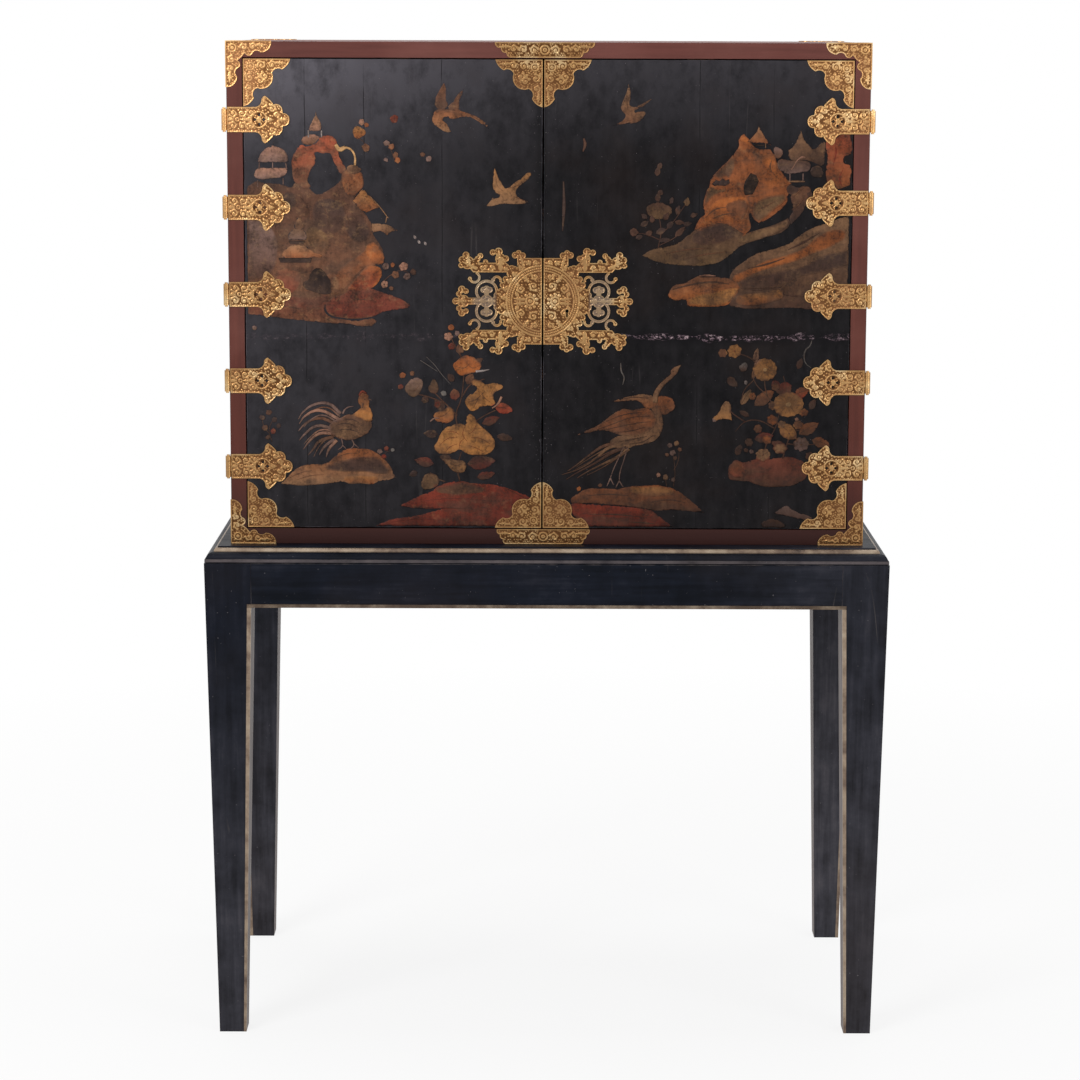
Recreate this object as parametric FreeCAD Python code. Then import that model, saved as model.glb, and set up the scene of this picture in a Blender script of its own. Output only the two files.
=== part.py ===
import FreeCAD, Part
import math
import os

from FreeCAD import Vector

# Lacquer cabinet on a tapered-leg stand, in millimetres.
# X runs to the right, Y to the back, Z up from the floor. The origin is on the floor,
# under the middle of the stand.

# ---- cabinet carcase
CABINET_WIDTH = 930.0
CABINET_DEPTH = 490.0
CABINET_HEIGHT = 732.0
BOARD = 23.0
TONGUE = 8.0
BACK_THICKNESS = 10.0
BACK_LAP = 10.0
JOINERY_GAP = 0.1
SHELF_COUNT = 2
SHELF_THICKNESS = 16.0
SHELF_SETBACK = 17.0
BEARER_WIDTH = 14.0
BEARER_HEIGHT = 18.0
BEARER_SETBACK = 23.0
STOP_LENGTH = 40.0
STOP_SECTION = 12.0

# ---- doors
DOOR_THICKNESS = 20.0
DOOR_PROUD = 0.3
DOOR_SIDE_GAP = 1.6
DOOR_END_GAP = 1.8
SEAM_OFFSET = -7.5
SEAM_GAP = 2.5
RUNNING_CLEARANCE = 0.3

# ---- stand
STAND_TOP_HEIGHT = 739.0
OVERHANG_SIDE = 37.0
OVERHANG_FRONT = 44.0
OVERHANG_BACK = 39.0
APRON_HEIGHT = 65.5
APRON_THICKNESS = 25.0
APRON_SETBACK = 0.6
TENON_THICKNESS = 12.0
TENON_LENGTH = 24.0
TENON_SHOULDER = 10.0
LEG_AT_APRON = 67.0
LEG_AT_FOOT = 40.0
OUTER_TAPER = 13.3
TOP_THICKNESS = 23.0
MOULDING_WIDTH = 19.0
MOULDING_HEIGHT = 15.2
QUIRK_HEIGHT = 1.5
QUIRK_DEPTH = 2.5
FILLET_SETBACK = 0.8
FILLET_TOP = 6.0
OVOLO_START = 2.6
OVOLO_END = 11.5
OVOLO_SWELL = 1.9
BEAD_SIZE = 5.5
EDGE_BEAD = 5.0
LEG_BEAD_TOP = 6.0
LEG_BEAD_FOOT = 4.0
GLUE_BLOCK = 30.0

# ---- hinges
HINGE_FROM_SILL = 92.0
HINGE_FROM_HEAD = 88.8
HINGE_COUNT = 5
RAISED_HINGE = 3
RAISED_BY = 9.0
BARREL_RADIUS = 4.0
CORNER_CLEARANCE = 0.5
ROOT_GAP = 0.5
PIN_RADIUS = 1.5
PIN_CLEARANCE = 0.05
PIN_FINIAL = 2.2
KNUCKLE_HALF = 7.2
BARREL_HALF = 15.5
STRAP_THICKNESS = 1.8
STRAP_HALF = 18.0
STRAP_NECK = 48.0
STRAP_HEAD = 50.0
EAR_HALF = 34.0
LEAF_HALF = 15.5
LEAF_LENGTH = 52.0
FLOWER_FROM_BARREL = 55.0
FLOWER_SPREAD = 6.2
FLOWER_HOLE = 1.7

# ---- other mounts
MOUNT_THICKNESS = 1.0
DOOR_MOUNT = 68.0
CARCASE_MOUNT = 65.5
UPPER_CENTRE_LONG = 144.0
UPPER_CENTRE_SHORT = 98.0
LOWER_CENTRE_LONG = 136.0
LOWER_CENTRE_SHORT = 112.0
CENTRE_MOUNT_OFFSET = -5.5
MOUNT_MARGIN = 0.5
LOCK_PLATE_THICKNESS = 1.6
LOCK_PLATE_BELOW_MIDDLE = 7.0
MEDALLION_RADIUS = 61.5
FRILL_RADIUS = 4.6
FRILL_STEP = 9.0
RAIL_LENGTH = 26.0
RAIL_HALF = 63.0
ARM_CENTRE = 49.0
ARM_HALF = 7.0
ARM_END = 108.0
RING_CENTRE = 80.5
RING_SPREAD = 14.5
RING_RADIUS = 16.8
RING_WIDTH = 4.0
CURL_WIDTH = 3.6
CURL_KNOB = 2.9

# ---- lock and bolts
KEYHOLE_FROM_SEAM = 35.5
KEYHOLE_BELOW = 14.0
KEYHOLE_RADIUS = 2.4
KEYHOLE_SLOT = 2.4
KEYHOLE_DROP = 9.0
LOCK_WIDTH = 66.0
LOCK_HEIGHT = 58.0
LOCK_DEPTH = 13.0
LOCK_WALL = 1.6
LOCK_FROM_SEAM = 1.0
BOLT_HEIGHT = 18.0
BOLT_THICKNESS = 5.0
BOLT_BACK = 40.0
GUIDE_RAIL = 4.0
BOLT_STANDOFF = 3.0
KEEPER_FROM_SEAM = 0.5
KEEPER_WIDTH = 16.0
KEEPER_WALL = 2.5
ROD_RADIUS = 4.0
ROD_LENGTH = 86.0
ROD_FROM_SEAM = 26.0
ROD_STANDOFF = 7.5
ROD_THROW = 10.0
ROD_SHORT_OF_EDGE = 1.0
ROD_CLEARANCE = 0.4
GUIDE_WIDTH = 24.0
GUIDE_DEPTH = 14.0
GUIDE_LENGTH = 10.0
GUIDE_SPREAD = 28.0
KNOB_RADIUS = 5.0
KNOB_LENGTH = 12.0

# ---- brass nails
NAIL_HEAD = 1.6
NAIL_RISE = 0.9
NAIL_SHANK = 0.7
NAIL_LENGTH = 8.0
NAIL_HOLE_EXTRA = 0.15
SIDE_NAIL_STEP = 4.0

# ---- places worked out from the sizes above
FRAME_WIDTH = CABINET_WIDTH + 2 * OVERHANG_SIDE
FRAME_DEPTH = CABINET_DEPTH + OVERHANG_FRONT + OVERHANG_BACK
FRAME_TOP = STAND_TOP_HEIGHT - TOP_THICKNESS
APRON_BOTTOM = FRAME_TOP - APRON_HEIGHT
FRONT = -FRAME_DEPTH / 2 + OVERHANG_FRONT
REAR = FRONT + CABINET_DEPTH
SIDE = CABINET_WIDTH / 2
BASE = STAND_TOP_HEIGHT
CROWN = BASE + CABINET_HEIGHT
INSIDE = SIDE - BOARD
SILL = BASE + BOARD
HEAD = CROWN - BOARD
DOOR_FACE = FRONT - DOOR_PROUD
DOOR_BACK = DOOR_FACE + DOOR_THICKNESS
DOOR_LOW = SILL + DOOR_END_GAP
DOOR_HIGH = HEAD - DOOR_END_GAP
SEAM_LEFT = SEAM_OFFSET - SEAM_GAP / 2
SEAM_RIGHT = SEAM_OFFSET + SEAM_GAP / 2
DOOR_OUTER = INSIDE - DOOR_SIDE_GAP
HINGE_OFFSET = (BARREL_RADIUS + CORNER_CLEARANCE) / math.sqrt(2)
HINGE_X = SIDE + HINGE_OFFSET
HINGE_Y = FRONT - HINGE_OFFSET
BARREL_EDGE = HINGE_X + BARREL_RADIUS
LEAF_ROOT = 2 * BARREL_RADIUS + ROOT_GAP
PLATE_CENTRE = (SILL + HEAD) / 2 - LOCK_PLATE_BELOW_MIDDLE
KEYHOLE_X = SEAM_OFFSET + KEYHOLE_FROM_SEAM
KEYHOLE_Z = PLATE_CENTRE - KEYHOLE_BELOW
LEFT, RIGHT = -1, 1
NEAR, FAR = -1, 1

os.makedirs("parts", exist_ok=True)


# ---- helpers

def box(x0, x1, y0, y1, z0, z1):
    low = Vector(min(x0, x1), min(y0, y1), min(z0, z1))
    return Part.makeBox(abs(x1 - x0), abs(y1 - y0), abs(z1 - z0), low)


def rod(radius, start, end):
    direction = end - start
    return Part.makeCylinder(radius, direction.Length, start, direction)


def rectangle_wire(x0, x1, y0, y1, z):
    corners = [Vector(x0, y0, z), Vector(x1, y0, z), Vector(x1, y1, z), Vector(x0, y1, z)]
    return Part.makePolygon(corners + corners[:1])


def tapered(low, low_z, high, high_z):
    """A straight-sided solid between two rectangles (x0, x1, y0, y1)."""
    wires = [rectangle_wire(*low, low_z), rectangle_wire(*high, high_z)]
    return Part.makeLoft(wires, True, True)


def outline(start, steps):
    """A flat face from a start point and steps; a step is an end point, or a mid point and an end point."""
    edges = []
    here = Vector(*start, 0)
    for step in list(steps) + [start]:
        if isinstance(step[0], tuple):
            middle, end = (Vector(*point, 0) for point in step)
            edges.append(Part.Arc(here, middle, end).toShape())
        else:
            end = Vector(*step, 0)
            if end.distanceToPoint(here) > 0.001:
                edges.append(Part.LineSegment(here, end).toShape())
        here = end
    return Part.Face(Part.Wire(edges))


def disc(u, v, radius):
    return Part.Face(Part.Wire(Part.Circle(Vector(u, v, 0), Vector(0, 0, 1), radius).toShape()))


def ring(u, v, radius, width):
    return disc(u, v, radius).cut(disc(u, v, radius - width))


def leaf(u, v, length, width, degrees):
    """A pointed leaf that starts at (u, v) and points along the angle given."""
    turn = math.radians(degrees)

    def at(along, across):
        return (u + along * math.cos(turn) - across * math.sin(turn),
                v + along * math.sin(turn) + across * math.cos(turn))

    tip = at(length, 0)
    return outline((u, v), [(at(length / 2, width / 2), tip), (at(length / 2, -width / 2), (u, v))])


def hook(u, v, radius, width, start, end):
    """A curl: a band along part of a circle, and a small disc on its free end."""
    inner = radius - width / 2
    outer = radius + width / 2

    def at(distance, degrees):
        turn = math.radians(degrees)
        return (u + distance * math.cos(turn), v + distance * math.sin(turn))

    middle = (start + end) / 2
    band = outline(at(inner, start), [(at(inner, middle), at(inner, end)), at(outer, end),
                                      (at(outer, middle), at(outer, start))])
    return [band, disc(*at(radius, end), CURL_KNOB)]


def sheet(face, thickness):
    return face.extrude(Vector(0, 0, thickness))


def joined_sheets(faces, thickness):
    """One plate from overlapping outlines."""
    plates = [sheet(face, thickness).Solids[0] for face in faces]
    return plates[0].fuse(plates[1:]).removeSplitter()


def mirrored(shape, normal):
    return shape.mirror(Vector(0, 0, 0), normal)


def on_front(plate, x, z, back, side=LEFT):
    """Stands a flat plate up, facing the front, with its back at y = back. U runs inwards from x."""
    standing = plate.copy()
    standing.rotate(Vector(0, 0, 0), Vector(1, 0, 0), 90)
    if side == RIGHT:
        standing = mirrored(standing, Vector(1, 0, 0))
    standing.translate(Vector(x, back, z))
    return standing


def on_side(plate, y, z, side):
    """Stands a flat plate on a side of the cabinet, with U running towards the back from y."""
    standing = plate.copy()
    standing.rotate(Vector(0, 0, 0), Vector(1, 0, 0), 90)
    standing.rotate(Vector(0, 0, 0), Vector(0, 0, 1), 90)
    if side == LEFT:
        standing = mirrored(standing, Vector(1, 0, 0))
    standing.translate(Vector(side * SIDE, y, z))
    return standing


def nail(face_point, outwards):
    """A round-headed brass pin, its head on the plate at face_point and its shank in the wood."""
    shank = rod(NAIL_SHANK, face_point - outwards * NAIL_LENGTH, face_point)
    height = NAIL_RISE
    dome_radius = (NAIL_HEAD ** 2 + height ** 2) / (2 * height)
    ball = Part.makeSphere(dome_radius, face_point - outwards * (dome_radius - height))
    slab = Part.makeCylinder(2 * NAIL_HEAD, 2 * height, face_point, outwards)
    return shank.fuse(ball.common(slab)).removeSplitter()


def nail_hole(face_point, outwards):
    deep = NAIL_LENGTH + NAIL_HOLE_EXTRA
    return rod(NAIL_SHANK, face_point - outwards * deep, face_point + outwards * NAIL_RISE)


def export(name, *solids):
    shape = solids[0] if len(solids) == 1 else Part.makeCompound(list(solids))
    shape.exportStep(f"parts/{name}.step")
    print(name, len(shape.Solids), "solids, valid", shape.isValid(), round(shape.Volume / 1000, 2), "cm3")


# ---- stand

def outer_at(z, side_length):
    """How far the tapering outer face of a leg stands from the stand's middle at height z."""
    return side_length / 2 - OUTER_TAPER * (FRAME_TOP - z) / FRAME_TOP


def leg_rectangle(z, width, x_side, y_side):
    x_outer = outer_at(z, FRAME_WIDTH)
    y_outer = outer_at(z, FRAME_DEPTH)
    xs = sorted((x_side * x_outer, x_side * (x_outer - width)))
    ys = sorted((y_side * y_outer, y_side * (y_outer - width)))
    return (*xs, *ys)


LEG_INNER_X = outer_at(APRON_BOTTOM, FRAME_WIDTH) - LEG_AT_APRON
LEG_INNER_Y = outer_at(APRON_BOTTOM, FRAME_DEPTH) - LEG_AT_APRON
APRON_FACE_X = FRAME_WIDTH / 2 - APRON_SETBACK
APRON_FACE_Y = FRAME_DEPTH / 2 - APRON_SETBACK


def leg_bead(x_side, y_side, on_face):
    """The gilt strip let into a leg's inner arris, on its front face or on its outer side face."""
    ends = []
    for z, width, strip in ((0, LEG_AT_FOOT, LEG_BEAD_FOOT), (APRON_BOTTOM, LEG_AT_APRON, LEG_BEAD_TOP)):
        x_outer = outer_at(z, FRAME_WIDTH)
        y_outer = outer_at(z, FRAME_DEPTH)
        if on_face == "front":
            xs = (x_outer - width, x_outer - width + strip)
            ys = (y_outer - EDGE_BEAD, y_outer)
        else:
            xs = (x_outer - EDGE_BEAD, x_outer)
            ys = (y_outer - width, y_outer - width + strip)
        ends.append((*sorted(x_side * x for x in xs), *sorted(y_side * y for y in ys)))
    return tapered(ends[0], 0, ends[1], APRON_BOTTOM)


def apron_bead(place):
    low, high = APRON_BOTTOM, APRON_BOTTOM + EDGE_BEAD
    if place == "front":
        half = LEG_INNER_X + LEG_BEAD_TOP
        return box(-half, half, -FRAME_DEPTH / 2, -FRAME_DEPTH / 2 + EDGE_BEAD, low, high)
    side = LEFT if place == "left" else RIGHT
    half = LEG_INNER_Y + LEG_BEAD_TOP
    outer = FRAME_WIDTH / 2
    return box(side * (outer - EDGE_BEAD), side * outer, -half, half, low, high)


def apron(place):
    """One rail of the frame with a tenon at each end."""
    low, high = APRON_BOTTOM, FRAME_TOP
    tenon_low, tenon_high = low + TENON_SHOULDER, high - TENON_SHOULDER
    inset = (APRON_THICKNESS - TENON_THICKNESS) / 2
    if place in ("front", "rear"):
        y_side = NEAR if place == "front" else FAR
        face = y_side * APRON_FACE_Y
        back = y_side * (APRON_FACE_Y - APRON_THICKNESS)
        reach = LEG_INNER_X + TENON_LENGTH
        rail = box(-LEG_INNER_X, LEG_INNER_X, face, back, low, high)
        tenon = box(-reach, reach, face - y_side * inset, back + y_side * inset, tenon_low, tenon_high)
    else:
        x_side = LEFT if place == "left" else RIGHT
        face = x_side * APRON_FACE_X
        back = x_side * (APRON_FACE_X - APRON_THICKNESS)
        reach = LEG_INNER_Y + TENON_LENGTH
        rail = box(face, back, -LEG_INNER_Y, LEG_INNER_Y, low, high)
        tenon = box(face - x_side * inset, back + x_side * inset, -reach, reach, tenon_low, tenon_high)
    return rail.fuse(tenon).removeSplitter()


def leg(x_side, y_side, cutters):
    foot = leg_rectangle(0, LEG_AT_FOOT, x_side, y_side)
    knee = leg_rectangle(APRON_BOTTOM, LEG_AT_APRON, x_side, y_side)
    x_inner, y_inner = x_side * LEG_INNER_X, y_side * LEG_INNER_Y
    top_x = sorted((x_inner, x_side * FRAME_WIDTH / 2))
    top_y = sorted((y_inner, y_side * FRAME_DEPTH / 2))
    shape = tapered(foot, 0, knee, APRON_BOTTOM)
    shape = shape.fuse(tapered(knee, APRON_BOTTOM, (*top_x, *top_y), FRAME_TOP)).removeSplitter()
    return shape.cut(cutters)


def moulding_profile():
    """Section through the top moulding: d is the distance in from the frame's face, h the height."""
    middle = ((OVOLO_START + OVOLO_END) / 2 - OVOLO_SWELL, (FILLET_TOP + MOULDING_HEIGHT) / 2 + OVOLO_SWELL)
    return outline((QUIRK_DEPTH, 0), [
        (QUIRK_DEPTH, QUIRK_HEIGHT), (FILLET_SETBACK, QUIRK_HEIGHT), (FILLET_SETBACK, FILLET_TOP),
        (OVOLO_START, FILLET_TOP), (middle, (OVOLO_END, MOULDING_HEIGHT)),
        (MOULDING_WIDTH, MOULDING_HEIGHT), (MOULDING_WIDTH, 0)])


def bead_profile():
    start = MOULDING_WIDTH - BEAD_SIZE
    low, high = MOULDING_HEIGHT, MOULDING_HEIGHT + BEAD_SIZE
    bulge = (start + BEAD_SIZE * 0.12, low + BEAD_SIZE * 0.62)
    return outline((MOULDING_WIDTH, low), [(start, low), (bulge, (start + BEAD_SIZE * 0.6, high)),
                                           (MOULDING_WIDTH, high)])


def mitred_strip(profile, place):
    """A moulding along one side of the frame, cut at 45 degrees where it meets its neighbours."""
    along_x = place in ("front", "rear")
    length = FRAME_WIDTH if along_x else FRAME_DEPTH
    across = FRAME_DEPTH if along_x else FRAME_WIDTH
    half, out = length / 2, across / 2
    strip = profile.copy()
    strip.rotate(Vector(0, 0, 0), Vector(1, 0, 0), 90)
    strip.rotate(Vector(0, 0, 0), Vector(0, 0, 1), 90)
    strip.translate(Vector(-half, -out, FRAME_TOP))
    strip = strip.extrude(Vector(length, 0, 0))
    plan = [Vector(-half, -out, FRAME_TOP - 1), Vector(half, -out, FRAME_TOP - 1),
            Vector(half - MOULDING_WIDTH, -out + MOULDING_WIDTH, FRAME_TOP - 1),
            Vector(-half + MOULDING_WIDTH, -out + MOULDING_WIDTH, FRAME_TOP - 1)]
    prism = Part.Face(Part.makePolygon(plan + plan[:1])).extrude(Vector(0, 0, TOP_THICKNESS + 2))
    strip = strip.common(prism)
    turns = {"front": 0, "right": 90, "rear": 180, "left": 270}
    strip.rotate(Vector(0, 0, 0), Vector(0, 0, 1), turns[place])
    return strip


def build_stand():
    sides = ("front", "rear", "left", "right")
    aprons = {place: apron(place) for place in sides}
    apron_beads = {place: apron_bead(place) for place in ("front", "left", "right")}
    leg_beads = []
    for x_side in (LEFT, RIGHT):
        leg_beads.append(leg_bead(x_side, NEAR, "front"))
        for y_side in (NEAR, FAR):
            leg_beads.append(leg_bead(x_side, y_side, "side"))
    cutters = list(aprons.values()) + list(apron_beads.values()) + leg_beads
    for x_side, x_name in ((LEFT, "left"), (RIGHT, "right")):
        for y_side, y_name in ((NEAR, "front"), (FAR, "rear")):
            export(f"{y_name}_{x_name}_leg", leg(x_side, y_side, cutters))
    for place in sides:
        rail = aprons[place]
        if place in apron_beads:
            rail = rail.cut(apron_beads[place])
        export(f"{place}_apron", rail)
        export(f"{place}_moulding", mitred_strip(moulding_profile(), place))
    export("gilt_apron_beads", *apron_beads.values())
    export("gilt_leg_beads", *leg_beads)
    export("gilt_top_beads", *(mitred_strip(bead_profile(), place) for place in sides))
    half_x = FRAME_WIDTH / 2 - MOULDING_WIDTH
    half_y = FRAME_DEPTH / 2 - MOULDING_WIDTH
    export("stand_top", box(-half_x, half_x, -half_y, half_y, FRAME_TOP, STAND_TOP_HEIGHT))
    blocks = []
    for x_side in (LEFT, RIGHT):
        for y_side in (NEAR, FAR):
            x = x_side * (LEG_INNER_X - GLUE_BLOCK)
            y = y_side * (APRON_FACE_Y - APRON_THICKNESS)
            blocks.append(box(x_side * LEG_INNER_X, x, y, y - y_side * GLUE_BLOCK,
                              FRAME_TOP - GLUE_BLOCK, FRAME_TOP))
    export("glue_blocks", *blocks)


# ---- outlines of the brass mounts; u and v are the plate's own directions

def strap_outline():
    """A hinge strap from the barrel to its tip, with two ears and three small lobes."""
    rise = EAR_HALF - STRAP_HALF

    def head(along, up):
        return (STRAP_NECK + along * STRAP_HEAD, up * EAR_HALF)

    start = (STRAP_NECK, STRAP_HALF)
    half = [((STRAP_NECK + 0.13 * STRAP_HEAD, STRAP_HALF + 0.15 * rise),
             (STRAP_NECK + 0.20 * STRAP_HEAD, STRAP_HALF + 0.55 * rise)),
            (head(0.23, 0.93), head(0.30, 1.0)),
            (head(0.42, 0.86), head(0.53, 0.68)),
            head(0.52, 0.62),
            (head(0.70, 0.63), head(0.80, 0.36)),
            head(0.815, 0.27),
            (head(0.95, 0.20), head(1.0, 0))]
    lower = mirrored_steps(half, start) + [(LEAF_ROOT, -STRAP_HALF)]
    return outline((LEAF_ROOT, STRAP_HALF), [start] + half + lower)


def mirrored_steps(steps, start):
    """The same steps walked back again, below the centre line."""
    points = [start] + [step[1] if isinstance(step[0], tuple) else step for step in steps]
    back = []
    for index, step in reversed(list(enumerate(steps))):
        end = (points[index][0], -points[index][1])
        if isinstance(step[0], tuple):
            back.append(((step[0][0], -step[0][1]), end))
        else:
            back.append(end)
    return back


def flower_holes(u):
    return [disc(u + FLOWER_SPREAD * math.cos(turn), FLOWER_SPREAD * math.sin(turn), FLOWER_HOLE)
            for turn in (0, math.pi / 2, math.pi, 3 * math.pi / 2)]


def leaf_outline():
    """The side leaf of a hinge: a short strap with a cusped end."""
    half = [((LEAF_LENGTH - 13, LEAF_HALF + 1.5), (LEAF_LENGTH - 9, LEAF_HALF - 5)),
            (LEAF_LENGTH - 10, LEAF_HALF - 7),
            ((LEAF_LENGTH - 2.5, LEAF_HALF - 8), (LEAF_LENGTH, 0))]
    first = (LEAF_LENGTH - 20, LEAF_HALF)
    lower = mirrored_steps(half, first) + [(LEAF_ROOT, -LEAF_HALF)]
    return outline((LEAF_ROOT, LEAF_HALF), [first] + half + lower)


def triangle_outline(size):
    """A door's corner mount: a right-angled corner and a slope of scallops."""
    slope = [((0.94 * size, 0.13 * size), (0.82 * size, 0.225 * size)),
             ((0.69 * size, 0.215 * size), (0.615 * size, 0.30 * size)),
             ((0.56 * size, 0.56 * size), (0.30 * size, 0.615 * size)),
             ((0.215 * size, 0.69 * size), (0.225 * size, 0.82 * size)),
             ((0.13 * size, 0.94 * size), (0, size))]
    return outline((0, 0), [(size, 0)] + slope)


def angle_outline(size, width):
    """A carcase corner mount: two arms as wide as the board's edge, with scalloped inner edges."""
    arm = [((0.94 * size, 0.5 * width), (0.77 * size, 0.71 * width)),
           ((0.68 * size, 0.60 * width), (0.59 * size, 0.72 * width)),
           ((0.50 * size, 0.92 * width), (0.42 * size, 0.74 * width)),
           (width, width)]
    across = [((0.74 * width, 0.42 * size)), ((0.92 * width, 0.50 * size), (0.72 * width, 0.59 * size)),
              ((0.60 * width, 0.68 * size), (0.71 * width, 0.77 * size)),
              ((0.5 * width, 0.94 * size), (0, size))]
    return outline((0, 0), [(size, 0)] + arm + across)


def trapezoid_outline(long_side, short_side, height):
    """A centre mount: long edge outside, and stepped, scalloped ends."""
    run = (long_side - short_side) / 2

    def end(sign):
        base = sign * long_side / 2
        return [((base - sign * 0.10 * run, 0.30 * height), (base - sign * 0.38 * run, 0.36 * height)),
                ((base - sign * 0.46 * run, 0.62 * height), (base - sign * 0.72 * run, 0.68 * height)),
                ((base - sign * 0.80 * run, 0.92 * height), (base - sign * run, height))]

    right = end(1)
    left_end = end(-1)
    points = [(-long_side / 2, 0)] + [step[1] for step in left_end]
    walk = [(-short_side / 2, height)]
    walk += [(left_end[index][0], points[index]) for index in reversed(range(len(left_end)))]
    return outline((-long_side / 2, 0), [(long_side / 2, 0)] + right + walk)


def lock_plate_half():
    """Outlines that make up half of the pierced lock plate. U runs away from the seam, V up."""
    reach = MEDALLION_RADIUS + 1
    seam_side = outline((0, -reach), [(reach, -reach), (reach, reach), (0, reach)])
    faces = [disc(0, 0, MEDALLION_RADIUS).common(seam_side),
             outline((0, -RAIL_HALF), [(RAIL_LENGTH, -RAIL_HALF), (RAIL_LENGTH, RAIL_HALF), (0, RAIL_HALF)])]
    for sign in (1, -1):
        arm = sign * ARM_CENTRE
        faces += frill(sign) + rail_bud(sign) + arm_lobes(sign, arm)
        faces += [outline((44, arm - sign * ARM_HALF), [
            (ARM_END - 8, arm - sign * ARM_HALF), (ARM_END + 4, arm + sign * ARM_HALF),
            (52, arm + sign * ARM_HALF), (44, arm)]),
            disc(44, sign * 46, 6.5), disc(66, sign * 9, 4.2)]
        faces += hook(98, sign * 34.5, 7.0, CURL_WIDTH, sign * 105, sign * 345)
        faces += hook(65.5, sign * 30, 5.6, CURL_WIDTH, sign * 205, sign * 10)
        faces.append(ring(RING_CENTRE, sign * RING_SPREAD, RING_RADIUS, RING_WIDTH))
        cap = sign * (RING_SPREAD + 2)
        faces += [disc(RING_CENTRE + 4.6, cap, 4.4), disc(RING_CENTRE - 4.6, cap, 4.4),
                  disc(RING_CENTRE, cap + sign * 1.6, 4.6)]
    return faces + stalk()


def frill(sign):
    """Small scallops round the medallion's edge."""
    turns = [math.radians(FRILL_STEP * (index + 0.5)) for index in range(int(54 / FRILL_STEP))]
    return [disc(MEDALLION_RADIUS * math.cos(turn), sign * MEDALLION_RADIUS * math.sin(turn), FRILL_RADIUS)
            for turn in turns]


def rail_bud(sign):
    """The bud at the end of the straight rail, on a short stem."""
    low, high = sorted((sign * 52, sign * 66))
    left, right = RAIL_LENGTH, RAIL_LENGTH + 10
    return [outline((left, low), [(right, low), (right, high), (left, high)]),
            disc(left + 2, sign * 66.5, 4.6), disc(left + 13, sign * 67, 4.8), disc(left + 8, sign * 70, 4.4)]


def arm_lobes(sign, arm):
    """The buds and lobes that stand on an arm, from the medallion to its far end."""
    return [disc(u, arm + sign * v, radius) for u, v, radius in
            ((60, 3, 8.5), (60.5, 13, 7.5), (52.5, 13, 4.6), (63, 23, 5.8), (71.5, 22, 4.4), (82, 8, 3.8),
             (89.5, 17, 4.1), (93.5, 12.5, 4.3), (97, 7, 6.0), (108, 7, 9.5), (110.5, 18, 5.0),
             (116, 11, 5.2), (117.5, 3, 4.0))]


def stalk():
    """The stem between the two rings and the lobed finial on its end."""
    sides = [disc(u, sign * v, radius) for sign in (1, -1) for u, v, radius in
             ((RING_CENTRE, 11.5, 3.7), (116.5, 17, 5.4), (110.5, 14.5, 4.0), (121, 10.5, 4.0))]
    return sides + [disc(RING_CENTRE, 0, 9.5), outline((48, -5), [(110, -5), (110, 5), (48, 5)]),
                    disc(114.5, 0, 9.2), disc(125.5, 0, 4.9)]


def both_halves(places):
    return places + [(u, -v) for u, v in places if v]


STRAP_NAILS = both_halves([(STRAP_NECK - 10, STRAP_HALF - 5),
                           (STRAP_NECK + 0.26 * STRAP_HEAD, 0.78 * EAR_HALF),
                           (STRAP_NECK + 0.60 * STRAP_HEAD, 0.43 * EAR_HALF),
                           (STRAP_NECK + 0.88 * STRAP_HEAD, 0)])
LEAF_NAILS = both_halves([(LEAF_ROOT + 7.5, LEAF_HALF - 5.5), (LEAF_LENGTH - 14, LEAF_HALF - 7.5)])
DOOR_MOUNT_NAILS = [(0.10 * DOOR_MOUNT, 0.10 * DOOR_MOUNT), (0.81 * DOOR_MOUNT, 0.09 * DOOR_MOUNT),
                    (0.09 * DOOR_MOUNT, 0.81 * DOOR_MOUNT), (0.44 * DOOR_MOUNT, 0.44 * DOOR_MOUNT)]
CARCASE_MOUNT_NAILS = [(6, 6), (0.80 * CARCASE_MOUNT, 7), (7, 0.80 * CARCASE_MOUNT)]
LOCK_PLATE_NAILS = both_halves([(8, RAIL_HALF - 8), (61, ARM_CENTRE + 14), (108, ARM_CENTRE + 7), (114, 0)])
CENTRE_MOUNT_NAILS = [(-50, 7), (50, 7), (-18, 15), (18, 15)]


# ---- cabinet

def hinge_heights(side):
    lowest = SILL + HINGE_FROM_SILL
    pitch = (HEAD - HINGE_FROM_HEAD - lowest) / (HINGE_COUNT - 1)
    heights = [lowest + pitch * index for index in range(HINGE_COUNT)]
    if side == RIGHT:
        heights[RAISED_HINGE] += RAISED_BY
    return heights


def barrel(side, low, high, radius):
    return rod(radius, Vector(side * HINGE_X, HINGE_Y, low), Vector(side * HINGE_X, HINGE_Y, high))


def hinge_strap(side, z):
    """The strap on the door with the barrel's middle knuckle."""
    back = DOOR_FACE
    plate = sheet(strap_outline().cut(flower_holes(FLOWER_FROM_BARREL)), STRAP_THICKNESS)
    strap = on_front(plate, side * BARREL_EDGE, z, back, side)
    reach = side * (BARREL_EDGE - LEAF_ROOT - 1)
    tab = box(side * HINGE_X, reach, back, back - STRAP_THICKNESS, z - KNUCKLE_HALF, z + KNUCKLE_HALF)
    knuckle = barrel(side, z - KNUCKLE_HALF, z + KNUCKLE_HALF, BARREL_RADIUS)
    bore = barrel(side, z - STRAP_HALF, z + STRAP_HALF, PIN_RADIUS + PIN_CLEARANCE)
    return strap.fuse([tab, knuckle]).cut(bore).removeSplitter()


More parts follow.
